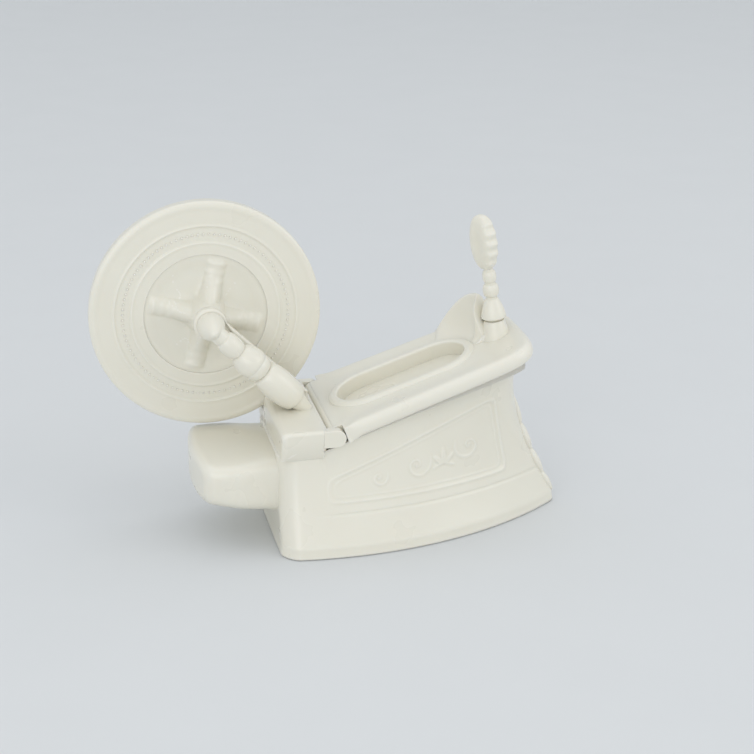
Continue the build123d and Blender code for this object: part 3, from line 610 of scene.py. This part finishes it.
def ironBody():
    # rows up the outside, over the rim and down the inside; columns round the plan. The rows are
    # even shares of the way to the rim, whose height depends on where the walls lead, so the
    # shares are taken four times over
    t, sign = roundTrip(16, 14, 230, 30)
    foot = body["bottom"]
    share = joined(np.linspace(0, 0.12, 8, endpoint=False), np.linspace(0.12, 1, 118))
    share = share[:, None]
    z = foot + share * (60.0 - foot) + 0 * t
    for _ in range(4):
        x = bodyPlan(z, t)[0]
        z = foot + share * (rimHeight(x[-1:]) - 0.2 - foot)
    x, y = bodyPlan(z, t)
    below = np.clip(z[-1:] - z, 0, None) / body["mouldingHeight"]
    moulding = np.clip(1 - below, 0, 1)
    underLid = ease(-57.0, -50.0, x[-1:])
    flare = 1 - np.sqrt(1 - moulding**2.2)
    gap = np.maximum(gapToRim(x[-1:], y[-1:]), 0) * underLid
    outX, outY = bodyPlan(z, t, inset=-1.0)
    normal = unit(together(outX - x, outY - y))
    onSide = ease(2.05, 2.2, t) * (1 - ease(3.0, 3.35, t))
    relief = sideRelief(x, z) * onSide * (1 - moulding**3)
    outer = together(x, y) + (gap * flare + relief)[..., None] * normal
    outer = joined(outer, z[..., None], axis=-1)
    footX, footY = bodyPlan(z[:1], t, inset=1.2)
    footRing = together(footX, footY, z[:1] - 0.15)
    innerZ = z[-1:] + np.linspace(0, 1, 22)[:, None] * (body["insideFloor"] - z[-1:])
    inner = together(*bodyPlan(innerZ, t, inset=body["wall"]), innerZ)
    inner[0, :, 2] += 0.15
    rows = joined(footRing, outer, inner)
    rows[..., 1] *= sign
    return surface(rows)


addPiece("ironBody", [ironBody()], "iron", ["body_shell", "cornice", "sole_plate"])


def soleFoot():
    # the wiped underside: the sole's plan drawn in a little, a thin plate with a round edge
    t, sign = roundTrip(14, 12, 90, 20)
    x, y = bodyPlan(np.zeros_like(t), t, inset=2.4)
    low, high, edge = 0.03, 1.2, 0.4
    return slab(together(x, y * sign), low, high, edge, lambda grid: grid)


addPiece("soleFoot", [soleFoot()], "iron", [], material=unglazedBiscuit())


# The crest down the nose: a ridge with a row of soft scallops

crest = {"foot": 5.0, "top": 63.0, "stand": 2.7, "halfWidth": 5.0, "scallops": 4.0, "sunk": 3.5}


def prowCrest():
    # rows up the nose; columns round a rib, half an ellipse outside and half a deeper one sunk in
    # the body; how far it stands out swells with a power of the sine in each scallop
    share = np.linspace(0, 1, 150)[:, None]
    z = crest["foot"] + share * (crest["top"] - crest["foot"])
    tip = bodySection(z, 0.0)[1]
    swell = np.abs(np.sin(pi * crest["scallops"] * share**0.9)) ** 0.7
    ends = np.sin(pi * share) ** 0.35
    stand = (0.35 + crest["stand"] * (0.45 + 0.55 * swell)) * ends
    width = crest["halfWidth"] * (0.62 + 0.38 * swell) * ends
    angle = fullTurn(40)[None]
    depth = np.where(np.cos(angle) > 0, stand, crest["sunk"])
    x = np.minimum(tip + depth * np.cos(angle), soleTip - 0.05)
    return surface(together(x, width * np.sin(angle), z))


addPiece("prowCrest", [prowCrest()], "iron", ["prow_crest"])


# The tank behind the heel

tank = {
    "roundness": 4.6,         # exponent of the section: 2 is an oval, more is boxier
    "endRound": 4.5,
    "bow": 4.6,               # how far the end face bulges between its sides
    "endLow": 26.5,           # underside at the end, and at the heel
    "heelLow": 17.5,
    "half": 35.0,
    "endDraw": 1.5,           # how much the sides draw in towards the end
    "waist": 4.5,             # the same, before they meet the heel
    "bowReach": 30.0,
}


def tankShell():
    # rows from the end to the heel; each is a superellipse in Y and Z whose underside slopes and
    # whose sides draw in at both ends; the end is rounded by a quarter circle, and bowed by the
    # square of Y
    rear, front = tankLow[0] + 0.05, tankHigh[0] + 3.0
    power = 2 / tank["roundness"]
    turn = np.linspace(0, pi / 2, 12)
    inset = joined(tank["endRound"] * (1 - np.sin(turn)), np.zeros(40))[:, None]
    along = joined(
        tank["endRound"] * (1 - np.cos(turn)),
        np.linspace(tank["endRound"], front - rear, 41)[1:],
    )[:, None]
    half = tank["half"] - tank["endDraw"] * (1 - ease(0, 14, along)) - inset
    half = half - tank["waist"] * ease(18, 40, along)
    fall = (tank["heelLow"] - tank["endLow"]) * along / (tankHigh[0] - rear)
    low, high = tank["endLow"] + fall + inset, tankTop - 0.05 - inset
    angle = fullTurn(160)[None]
    c, s = np.cos(angle), np.sin(angle)
    y = half * np.sign(c) * np.abs(c) ** power
    z = (low + high) / 2 + (high - low) / 2 * np.sign(s) * np.abs(s) ** power
    shrink = np.linspace(0.05, 0.95, 10)[:, None]
    middle = (low[0] + high[0]) / 2
    y = joined(y[:1] * shrink, y)
    z = joined(middle + (z[:1] - middle) * shrink, z)
    x = joined(np.full((10, 1), rear), rear + along)
    bow = tank["bow"] * (y / tank["half"]) ** 2 * (1 - ease(0, tank["bowReach"], x - rear))
    return surface(together(x + bow, y, z))


addPiece("tankShell", [tankShell()], "iron", ["heel_tank", "tank_floor"])


# The hinge block that carries the stem, and its two ears

block = {
    "edge": 2.2,
    "front": -53.95,
    "sunk": 1.2,              # how far it goes into the ledge
    "waist": 2.6,             # how much its ends draw in at the ledge
    "waistHeight": 11.0,
    "lidStop": 55.0,          # degrees that the lid swings before it meets the front
    "cutFrom": 19.4,          # Y between which the room for the wheel deepens
    "cutTo": 20.8,
    "wheelRoom": 62.0,
    "earRadius": 4.45,
    "earWidth": 5.0,
    "earCover": 0.35,         # closes over the end of the pin
    "earRoot": -55.5,
}


def hingeBlock():
    # rows across the iron; columns round its section. The section shrinks about its middle by a
    # quarter circle at both ends, its upper rear is pushed out of the wheel's circle on the
    # wheel's side, and its ends draw in towards the ledge by a parabola
    rear, front = blockLow[0], block["front"]
    top, bottom = blockHigh[2], body["ledge"] - block["sunk"]
    lean = (top - pin[2]) * tan(radians(90 - lid["slope"] - block["lidStop"]))
    section = closedPath([
        (rear, bottom, 0.5), (front, bottom, 0.3), (front, pin[2], 1.0),
        (front + lean, top, 2.0), (rear, top, 3.5),
    ], 0.6)
    half, edge = blockHigh[1], block["edge"]
    turn = np.linspace(0, pi / 2, 9)
    ends = half - edge * (1 - np.sin(turn))
    inner = joined(
        np.linspace(-half + edge, block["cutFrom"], 46)[1:],
        np.linspace(block["cutFrom"], block["cutTo"], 6)[1:],
        np.linspace(block["cutTo"], half - edge, 20)[1:],
    )
    station = joined(-ends[::-1], inner, ends[1:])
    inset = edge * (1 - np.cos(turn))
    inset = joined(inset[::-1], np.zeros(len(inner)), inset[1:])
    middle = (section.max(0) + section.min(0)) / 2
    rows = middle + (section[None] - middle) * (1 - inset / 11)[:, None, None]
    shrink = np.linspace(0.05, 0.97, 8)[:, None, None]
    cap = middle + (rows[:1] - middle) * shrink
    rows = joined(cap, rows, cap[::-1])
    station = joined(np.full(8, -half), station, np.full(8, half))
    x, z = rows[..., 0], rows[..., 1]
    y = station[:, None] + 0 * x
    away = together(x - axle[0], z - axle[2])
    reach = np.linalg.norm(away, axis=-1)
    cut = ease(19.6, 20.7, y) * np.clip(block["wheelRoom"] - reach, 0, None)
    x, z = x + cut * away[..., 0] / reach, z + cut * away[..., 1] / reach
    height = np.clip((z - body["ledge"]) / block["waistHeight"], 0, 1)
    narrow = 1 - block["waist"] / half * (1 - height) ** 2
    return surface(together(x, y * narrow, z))


def hingeEar(side):
    # a round eye on the pin joined to the block by a straight neck, carried across its width
    radius, root, cover = block["earRadius"], block["earRoot"], block["earCover"]
    angle = np.linspace(-pi / 2, pi / 2, 30)
    eye = together(pin[0] + radius * np.cos(angle), pin[2] + radius * np.sin(angle))
    neck = np.array([[root, pin[2] + radius], [root, pin[2] - radius]])
    outline = resampled(np.vstack([eye, neck]), 0.5, closed=True)
    outer = (blockHigh[1] + cover) * side
    low, high = sorted((outer, outer - (block["earWidth"] + cover) * side))
    return slab(outline, low, high, 0.35, acrossPlace)


addPiece("hingeBlock", [hingeBlock(), hingeEar(1), hingeEar(-1)], "iron", ["hinge_block"])


# The stem: web, beads, bulb and foot, and the boss of the axle

stem = {
    "fall": 44.0,             # degrees below level
    "planeY": -4.0,
    "webHalf": 6.0,
    "webEye": 8.5,
    "front": -54.6,           # where the foot is cut off behind the lid
    "sunk": 1.0,              # how far foot and web go into the block
    "collar": ((1.0, 4.6), (6.5, 4.4)),         # from here (along, radius)
    "smallBead": ((7.0, 4.4), (12.6, 5.8), (18.2, 4.2)),
    "upperSwell": ((17.8, 4.0), (24.0, 7.9), (30.2, 6.3)),
    "lowerSwell": ((28.2, 6.2), (31.4, 7.4), (35.2, 4.8)),
    "bulb": ((34.8, 4.8), (44.5, 8.6), (58.7, 5.4)),
    "neck": (57.0, 5.4),
    "footTaper": 2.4,
}
stemDown = np.array([cos(radians(stem["fall"])), 0, -sin(radians(stem["fall"]))])
stemTop = np.array([axle[0], stem["planeY"], axle[2]])
stemLength = (blockHigh[2] - axle[2]) / stemDown[2]


def turnedOnStem(profile, spacing):
    return turned(stemTop, stemDown, profile, spacing)


def arcProfile(start, middle, end, steps=24):
    # half an ellipse over the straight line from start to end, each (along, radius); a power of
    # the way moves its crown to the middle that is given
    t = np.linspace(0, 1, steps)
    share = (middle[0] - start[0]) / (end[0] - start[0])
    bent = t ** (np.log(0.5) / np.log(share))
    along = start[0] + (end[0] - start[0]) * t
    base = start[1] + (end[1] - start[1]) * t
    crown = middle[1] - (start[1] + (end[1] - start[1]) * share)
    return together(along, base + crown * np.sqrt(np.clip(1 - (2 * bent - 1) ** 2, 0, 1)))


smallBead = np.vstack([stem["collar"], arcProfile(*stem["smallBead"])])
addPiece("smallBead", [turnedOnStem(smallBead, 0.4)], "iron", ["small_bead"])
largeBead = [turnedOnStem(arcProfile(*stem[swell]), 0.4) for swell in ("upperSwell", "lowerSwell")]
addPiece("largeBead", largeBead, "iron", ["large_bead"])
bulb = arcProfile(*stem["bulb"], steps=40)
addPiece("stemBulb", [turnedOnStem(bulb, 0.5)], "iron", ["stem_bulb"])


def stemFoot():
    # a short taper from the bulb's neck down into the block: radius falls evenly along the way
    share = np.linspace(0, 1, 26)
    start, radius = stem["neck"]
    along = start + share * (stemLength + 1.5 - start)
    points, quads = turnedOnStem(together(along, radius - stem["footTaper"] * share), 0.4)
    points = points.copy()
    points[:, 2] = np.maximum(points[:, 2], blockHigh[2] - stem["sunk"])
    points[:, 0] = np.minimum(points[:, 0], stem["front"])
    return points, quads


addPiece("stemFoot", [stemFoot()], "iron", ["stem_foot"])


def stemWeb():
    # a flat bar behind the beads with a round eye at the axle, both edges rounded
    strutLow, strutHigh = (millimetres(corner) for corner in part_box("stem_strut"))
    side = np.array([-stemDown[2], stemDown[0]])
    down = np.array([stemDown[0], stemDown[2]])
    middle = np.array([axle[0], axle[2]])
    foot = middle + down * (stemLength + 1.0)
    half = stem["webHalf"]
    angle = np.linspace(0.25 * pi, 1.75 * pi, 60)[:, None]
    eye = middle + stem["webEye"] * (np.cos(angle) * down + np.sin(angle) * side)
    outline = resampled(np.vstack([eye, foot - half * side, foot + half * side]), 0.5, closed=True)
    outline[:, 0] = np.minimum(outline[:, 0], stem["front"] - 1.0)
    outline[:, 1] = np.maximum(outline[:, 1], blockHigh[2] - stem["sunk"])
    return slab(outline, strutLow[1], strutHigh[1], 1.4, acrossPlace)


addPiece("stemWeb", [stemWeb()], "iron", ["stem_strut"])

bossLow, bossHigh = (millimetres(corner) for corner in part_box("axle_boss"))
boss = arcProfile(
    (bossLow[1] + 1.0, 0.4), (stem["planeY"] + 1.5, 6.2), (bossHigh[1], 6.0), steps=30
)
addPiece("axleBoss", [turned((axle[0], 0, axle[2]), (0, 1, 0), boss, 0.4)], "iron", ["axle_boss"])


# The wheel: rim, ring of small beads, round well, and a spider of four arms

wheel = {
    "radius": 60.4,
    "bore": 6.2,
    "ridgeRadii": (47.6, 38.6),
    "ridgeHeight": 0.3,
    "bandDepth": 0.3,
    "beadRing": 43.1,
    "beadCount": 96,
    "beadRadius": 0.62,
    "wellRadius": 32.0,
    "wellDepth": 2.9,
    "armTurn": 76.3,          # degrees from the nose to the first arm
    "armHalf": 5.4,
    "hubRadius": 7.4,
}


def wheelDisc():
    # one profile turned about the axle: rim, two fine ridges with a sunk band between them,
    # the well, and on the back two broad steps; drawn as (depth behind the face, radius)
    face, back, bore = wheelLow[1], wheelHigh[1], wheel["bore"]
    floor = face + wheel["wellDepth"] + 0.4
    outline = closedPath([
        (floor, bore, 0.2), (floor, wheel["wellRadius"], 0.3),
        (face + 0.5, wheel["wellRadius"] + 0.2, 0.5),
        (face + 0.30, wheel["radius"], 2.0), (back, wheel["radius"] - 0.2, 2.2),
        (back, 45.0, 1.0), (back - 1.0, 43.0, 1.0), (back - 1.0, 14.0, 1.0), (back, 12.5, 1.0),
        (back, bore, 0.2),
    ], 0.32)
    onFace = (outline[:, 0] < face + 1.2) & (outline[:, 1] > wheel["wellRadius"] + 1)
    outer, inner = wheel["ridgeRadii"]
    r = outline[:, 1]
    shape = wheel["ridgeHeight"] * (bell(r - outer, 0.8) + bell(r - inner, 0.8))
    band = ease(inner, inner + 1.0, r) * (1 - ease(outer - 1.0, outer, r))
    shape = shape - wheel["bandDepth"] * band + 0.25 * bell(r - 57.5, 1.4)
    outline[:, 0] = outline[:, 0] - np.where(onFace, shape, 0)
    angle = fullTurn(200)
    y = outline[:, 0][:, None] + 0 * angle
    x = axle[0] + r[:, None] * np.cos(angle)
    z = axle[2] + r[:, None] * np.sin(angle)
    return surface(together(x, y, z), closedRows=True)


def ringBeads():
    # low domes in the sunk band: one dome's points, turned to each place of the ring
    turn = fullTurn(8)
    rise = np.linspace(0.12, 1, 4)[:, None] * pi / 2
    outward = wheel["beadRing"] + wheel["beadRadius"] * np.sin(rise) * np.cos(turn)
    sideways = wheel["beadRadius"] * np.sin(rise) * np.sin(turn)
    y = wheelLow[1] + 0.55 - wheel["beadRadius"] * np.cos(rise) + 0 * turn
    pieces = []
    for place in fullTurn(wheel["beadCount"]):
        x = axle[0] + outward * cos(place) - sideways * sin(place)
        z = axle[2] + outward * sin(place) + sideways * cos(place)
        pieces.append(surface(together(x, y, z)))
    return pieces


addPiece("wheelDisc", [wheelDisc()] + ringBeads(), "wheel", ["wheel_disc"])


def wheelSpider():
    # a polar height field over the floor of the well: four ridges with lobed flanks rise to the
    # hub, all joined softly by the logarithm of a sum of exponentials; its back is flat, just
    # behind the floor
    floor = wheelLow[1] + wheel["wellDepth"]
    rise = floor - millimetres(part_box("wheel_spider")[0])[1]
    radius = joined(
        np.linspace(wheel["bore"], 12, 24, endpoint=False),
        np.linspace(12, wheel["wellRadius"] + 0.15, 98),
    )[:, None]
    angle = fullTurn(480)[None]
    turn = (angle - radians(wheel["armTurn"]) + pi / 4) % (pi / 2) - pi / 4
    along, aside = radius * np.cos(turn), radius * np.sin(turn)
    hub = rise * (1 - ease(wheel["hubRadius"], wheel["hubRadius"] + 4.5, radius))
    lobes = bell(along - 28.0, 1.9) + bell(along - 23.0, 1.7) + 0.8 * bell(along - 18.4, 1.6)
    halfWidth = wheel["armHalf"] * (1.12 - 0.20 * ease(9, 20, along)) + 0.5 * lobes
    crown = 3.6 + (rise - 5.0) * (1 - ease(5.0, 24.0, along)) + 0.5 * bell(along - 28.0, 2.2)
    crown = crown + 0.4 * bell(along - 23.0, 1.6) + 0.35 * bell(along - 18.4, 1.5)
    flank = np.clip(1 - (np.abs(aside) / halfWidth) ** 2.2, 0, 1)
    ends = np.sqrt(1 - ease(27.5, 31.5, radius))
    arm = crown * flank**0.7 * ends
    beside = np.clip(np.abs(aside) - 0.75 * halfWidth, 0, None)
    web = 0.42 * crown * np.exp(-beside / 2.6) * ends
    dish = wheel["wellDepth"] * ease(22.0, 31.6, radius) * 0.82
    height = np.log(np.exp(hub) + np.exp(arm) + np.exp(web) + np.exp(dish)) - np.log(3.2)
    y = floor + 0.1 - np.clip(height, 0, rise)
    x, z = axle[0] + radius * np.cos(angle), axle[2] + radius * np.sin(angle)
    faceRows = together(x, y, z)
    backRows = together(x[::-1][::12], np.full_like(y[::12], floor + 0.38), z[::-1][::12])
    return surface(joined(faceRows, backRows), closedRows=True)


addPiece("wheelSpider", [wheelSpider()], "wheel", ["wheel_spider", "arm_rivets"])


# The lid: deck, rolled rim and barrel, and the lip of the opening

def lidContour():
    # plan of the lid on its slope: the knuckle's width first, a notch for each ear, then the side
    side = lidSide()
    rear, knuckle = lid["rear"], lid["knuckleHalf"]
    notch = roundedPath([
        (0.0, 0.0, 0), (0.0, knuckle, 0.6), (rear, knuckle, 0.4), (rear, side[0, 1], 0),
    ])
    half = np.vstack([resampled(notch, 0.7)[:-1], side])
    return np.vstack([half, half[-2:0:-1] * [1, -1]])


def fromSpine(contour):
    # for each point of a contour: its nearest point on the opening's spine and the way to it
    low, high = lid["slotMiddle"] - lid["slotHalfSpine"], lid["slotMiddle"] + lid["slotHalfSpine"]
    spine = together(np.clip(contour[:, 0], low, high), 0 * contour[:, 1])
    return spine, unit(contour - spine), np.linalg.norm(contour - spine, axis=1)


def lidPlate():
    # rows from the opening out over the deck, dished by the square of a sine, round the rim by a
    # superellipse, back underneath and up the bore
    contour = lidContour()
    normal = outlineNormals(contour)
    edge, thick = lid["edge"], lid["thickness"]
    rearEdge = ease(lid["edgeFrom"], lid["edgeWhole"], contour[:, 0])
    inset = contour - edge * normal * rearEdge[:, None]
    spine, way, reach = fromSpine(inset)
    share = np.linspace(0, 1, 26)[:, None]
    distance = lid["slotRadius"] + share * (reach - lid["slotRadius"])
    deck = spine + distance[..., None] * way
    deckLift = -lid["dish"] * np.sin(pi * share) ** 2 * np.minimum(reach / 20, 1)
    turn = np.linspace(pi / 2, -pi / 2, 15)[:, None]
    power = 0.82
    out = edge * np.cos(turn) ** power
    lift = -thick / 2 + (thick / 2) * np.sign(np.sin(turn)) * np.abs(np.sin(turn)) ** power
    rolled = inset[None] + (out * rearEdge)[..., None] * normal[None]
    rim = joined(rolled, (lift + 0 * rearEdge)[..., None], axis=-1)
    deck = joined(deck, deckLift[..., None], axis=-1)
    under = joined(deck[::-1, :, :2], 0 * deck[..., 2:] - thick, axis=-1)
    levels = np.array([-6.0, -3.0])[:, None, None] + 0 * under[-1:, :, :1]
    bore = joined(np.repeat(under[-1:, :, :2], 2, 0), levels, axis=-1)
    rows = joined(deck, rim[1:-1], under, bore)
    return surface(onLid(rows), closedRows=True)


def lidBarrel():
    # the knuckle of the hinge: a straight cylinder on the pin with rounded ends
    radius, half, bore = lid["thickness"] / 2, lid["knuckleHalf"], 2.2
    profile = roundedPath([
        (-half, bore, 0), (-half, radius, 0.6), (half, radius, 0.6), (half, bore, 0),
    ])
    return turned((pin[0], 0, pin[2]), (0, 1, 0), profile, 0.5, columns=64)


addPiece("lidPlate", [lidPlate(), lidBarrel()], "lid", ["lid_plate"])

lip = {"bore": 15.5, "flange": 20.7, "rise": 1.4, "ledge": -0.6, "slope": 1.6}


def openingLip():
    # a rounded lip and a straight bore, one closed profile carried round the opening
    bore, flange, wall = lip["bore"], lip["flange"], lid["slotRadius"] - 0.1
    profile = closedPath([
        (bore, -lid["thickness"], 0.5), (wall, -lid["thickness"], 0.3),
        (wall, lip["ledge"], 0.2), (flange, lip["ledge"], 0.3), (flange, 0.15, 0.5),
        (flange - lip["slope"], lip["rise"], 1.3), (bore, lip["rise"], 1.2),
    ], 0.4)
    angle = np.linspace(-pi / 2, pi / 2, 60)
    straight = np.linspace(-1, 1, 40)[1:-1]
    half = lid["slotHalfSpine"]
    turns = half + 0 * angle
    spineX = joined(turns, -half * straight, -turns, half * straight)
    bend = together(np.cos(angle), np.sin(angle))
    level = np.tile([0.0, 1.0], (len(straight), 1))
    way = joined(bend, level, -bend, -level)
    spine = together(lid["slotMiddle"] + spineX, 0 * spineX)
    plan = spine[None] + profile[:, :1, None] * way[None]
    rows = joined(plan, profile[:, 1][:, None, None] + 0 * plan[..., :1], axis=-1)
    return surface(onLid(rows), closedRows=True)


addPiece("openingLip", [openingLip()], "lid", ["opening_collar"])


recess = {"radius": 15.7, "top": -6.5, "edge": 0.3}


def recessFloor():
    # a flat plate that closes the lip's bore, two half circles joined by straight sides
    half, radius = lid["slotHalfSpine"], recess["radius"]
    angle = np.linspace(-pi / 2, pi / 2, 60)
    x = joined(half + np.cos(angle) * radius, -half - np.cos(angle) * radius)
    y = joined(np.sin(angle) * radius, -np.sin(angle) * radius)
    outline = resampled(together(lid["slotMiddle"] + x, y), 1.0, closed=True)
    return slab(outline, -lid["thickness"], recess["top"], recess["edge"], onLid)


addPiece("recessFloor", [recessFloor()], "lid", ["recess_floor"])


# The wing that sweeps up behind the catch, and the cone that the catch stands on

wing = {
    "foot": 20.2,             # from the middle of the opening's end, just under the lip's edge
    "crown": 26.6,            # the same, at the post and at the far rim
    "crownFar": 33.5,
    "outside": 4.5,           # from the crown down to its outer foot
    "height": 22.0,           # over the deck beside the post
    "from": -6.0,             # degrees round the opening's end
    "to": 76.0,
    "peak": 14.0,             # where it is highest
    "thickness": 1.2,
}


def prowWing():
    # a spoon round the far end of the opening: rows are degrees round it; along each row the
    # height first grows as a power of the way out to the crown, then falls as a quarter circle;
    # the rows' own height falls as a cosine from the peak to the wing's end
    turn = np.radians(np.linspace(wing["from"], wing["to"], 90))[:, None]
    grown = ease(radians(5), radians(15), turn)
    crown = wing["crown"] + (wing["crownFar"] - wing["crown"]) * grown
    peak, end = radians(wing["peak"]), radians(wing["to"])
    height = wing["height"] * np.cos(np.clip((turn - peak) / (end - peak), 0, 1) * pi / 2) ** 0.9
    height = height * (0.15 + 0.85 * ease(radians(-4), peak, turn))
    rise = np.linspace(0, 1, 40)[None]
    fall = np.linspace(0, 1, 16)[None, 1:] * pi / 2
    away = joined(
        wing["foot"] + rise * (crown - wing["foot"]), crown + np.sin(fall) * wing["outside"],
        axis=1,
    )
    lift = joined(height * rise**2.2, height * np.cos(fall) ** 0.8, axis=1)
    along = lid["slotMiddle"] + lid["slotHalfSpine"] + away * np.cos(turn)
    top = together(along, away * np.sin(turn), lift - 0.2)
    under = top[:, ::-1] * [1, 1, 0] + [0, 0, -wing["thickness"]]
    return surface(onLid(joined(top, under, axis=1)))


addPiece("prowWing", [prowWing()], "lid", ["prow_wing"])


# profiles of the cone and the post as (along, radius, rounding) and as swells from start over
# crown to end
stand = {
    "cone": ((-6.0, 4.0, 0), (-6.0, 8.9, 0.6), (7.4, 5.6, 1.0), (8.5, 5.2, 0.4), (8.5, 3.7, 0)),
    "coneSunk": 1.2,          # how far the cone's foot goes into the deck
    "collar": ((8.75, 4.9, 0), (9.4, 5.5, 0.4)),
    "vase": ((9.4, 5.5), (12.2, 6.3), (20.4, 2.9)),
    "lowerBead": ((21.4, 2.9), (24.8, 4.3), (28.2, 2.9)),
    "upperBead": ((29.4, 2.8), (32.4, 3.7), (35.4, 2.7)),
    "tip": (36.6, 2.2),
}


def postCone():
    # a straight cone with a rounded shoulder, its foot lifted to just under the sloping deck
    points, quads = turned(catchFoot, catchUp, roundedPath(stand["cone"]), 0.4)
    heights = (points - lidOrigin) @ slopeUp
    points = points - np.minimum(heights + stand["coneSunk"], 0)[:, None] * slopeUp
    return points, quads


addPiece("postCone", [postCone()], "lid", ["post_cone"])


# The catch: turned post and a flat leaf-shaped head with a beaded edge

def catchPost():
    # collar, vase and two small beads, as swells joined end to end
    profile = np.vstack([
        roundedPath(stand["collar"]), arcProfile(*stand["vase"], steps=30)[1:],
        arcProfile(*stand["lowerBead"]), arcProfile(*stand["upperBead"], steps=20), stand["tip"],
    ])
    return turned(catchFoot, catchUp, profile, 0.35)


addPiece("catchPost", [catchPost()], "catch", ["catch_post"])

head = {
    "halfWidth": 8.1,
    "halfHeight": 14.9,
    "halfThickness": 4.7,
    "turn": 64.0,             # degrees of its flat from the length of the iron
    "middle": 51.0,           # up the post from the lid
    "back": 1.0,
    "beadPitch": 5.6,
    "beadSwell": 0.055,
    "dish": 0.22,
}


def catchHead():
    # a flattened leaf: its sections are superellipses, whose size is a power of the cosine of the
    # latitude; both faces are dished, and one edge swells in beads by a cosine of the height
    latitude = np.linspace(-pi / 2 + 0.04, pi / 2 - 0.04, 110)[:, None]
    longitude = fullTurn(96)[None]
    height = head["halfHeight"] * np.sin(latitude)
    girth = np.cos(latitude) ** 0.8
    c, s = np.cos(longitude), np.sin(longitude)
    wave = np.cos(height * 2 * pi / head["beadPitch"])
    beads = 1 + head["beadSwell"] * wave * ease(0.2, 0.8, c)
    wide = head["halfWidth"] * girth * beads * np.sign(c) * np.abs(c) ** 0.72
    thick = head["halfThickness"] * girth**0.85 * np.sign(s) * np.abs(s) ** 0.62
    middleShare = bell(wide / head["halfWidth"], 0.5) * bell(height / head["halfHeight"], 0.65)
    dish = 1 - head["dish"] * middleShare
    across = unit(np.cross([0.0, 1.0, 0.0], catchUp))
    turn = radians(head["turn"])
    flat = across * cos(turn) - np.array([0, 1.0, 0]) * sin(turn)
    through = np.cross(flat, catchUp)
    middle = catchFoot + catchUp * head["middle"] - across * head["back"]
    rows = middle + wide[..., None] * flat + (thick * dish)[..., None] * through
    return surface(rows + (height + 0 * wide)[..., None] * catchUp)


addPiece("catchHead", [catchHead()], "catch", ["catch_head"])


# Stage, light and camera

sweep = {
    "near": -1600.0,
    "bend": 2400.0,           # where the floor starts to turn up
    "radius": 900.0,
    "top": 2600.0,
    "half": 3200.0,
    "turn": -12.5,            # degrees about the vertical
}


def backdrop():
    # a floor that turns up into a wall behind by a quarter circle, carried across
    bend, radius = sweep["bend"], sweep["radius"]
    turn = np.linspace(0, pi / 2, 24)
    profile = joined(
        together(np.linspace(sweep["near"], bend, 20), np.zeros(20)),
        together(bend + radius * np.sin(turn), radius * (1 - np.cos(turn)))[1:],
        together(np.full(8, bend + radius), np.linspace(radius, sweep["top"], 9)[1:]),
    )
    across = np.linspace(-sweep["half"], sweep["half"], 12)
    back = profile[:, :1]
    spin = radians(sweep["turn"])
    x, y = across * cos(spin) - back * sin(spin), across * sin(spin) + back * cos(spin)
    rows = together(x, y, profile[:, 1:])
    quads = gridFaces(*rows.shape[:2], False, False).tolist()
    makeObject("backdrop", rows.reshape(-1, 3), quads, paperSweep())


backdrop()

lightAim = np.array([-0.01, 0.0, 0.07])         # middle of the iron, in metres
lights = {
    # name: place in metres, size in metres, watts, colour
    "frontSoftbox": ((-0.85, -1.5, 0.42), 1.5, 6.3, "#ffffff"),
    "rightSoftbox": ((1.5, -0.9, 0.9), 1.2, 3.5, "#fffefb"),
    "topSoftbox": ((0.1, 0.2, 1.9), 1.6, 2.0, "#ffffff"),
}


def addLight(name, place, size, power, colour):
    # an area lamp that faces the middle of the iron
    lamp = bpy.data.lights.new(name, "AREA")
    lamp.shape, lamp.size, lamp.energy = "DISK", size, power
    lamp.color = linearColour(colour)[:3]
    holder = bpy.data.objects.new(name, lamp)
    holder.location = place
    aim = lightAim - np.array(place)
    level = np.hypot(aim[0], aim[1])
    holder.rotation_euler = (np.arctan2(level, -aim[2]), 0, np.arctan2(-aim[0], aim[1]))
    bpy.context.scene.collection.objects.link(holder)


for name, (place, size, power, colour) in lights.items():
    addLight(name, place, size, power, colour)

world = bpy.data.worlds.new("studioAir")
world.use_nodes = True
air = world.node_tree.nodes["Background"]
air.inputs["Color"].default_value = linearColour("#f1f4f7")
air.inputs["Strength"].default_value = 0.95
bpy.context.scene.world = world
bpy.context.scene.view_settings.view_transform = "Standard"

lens = bpy.data.cameras.new("studioCamera")
lens.sensor_width, lens.lens = 36.0, 85.94
camera = bpy.data.objects.new("studioCamera", lens)
camera.location = (-0.2111, -0.8630, 0.4002)
camera.rotation_euler = (radians(70.0), 0.0, radians(-12.5))
bpy.context.scene.collection.objects.link(camera)
bpy.context.scene.camera = camera
print("stage ready")
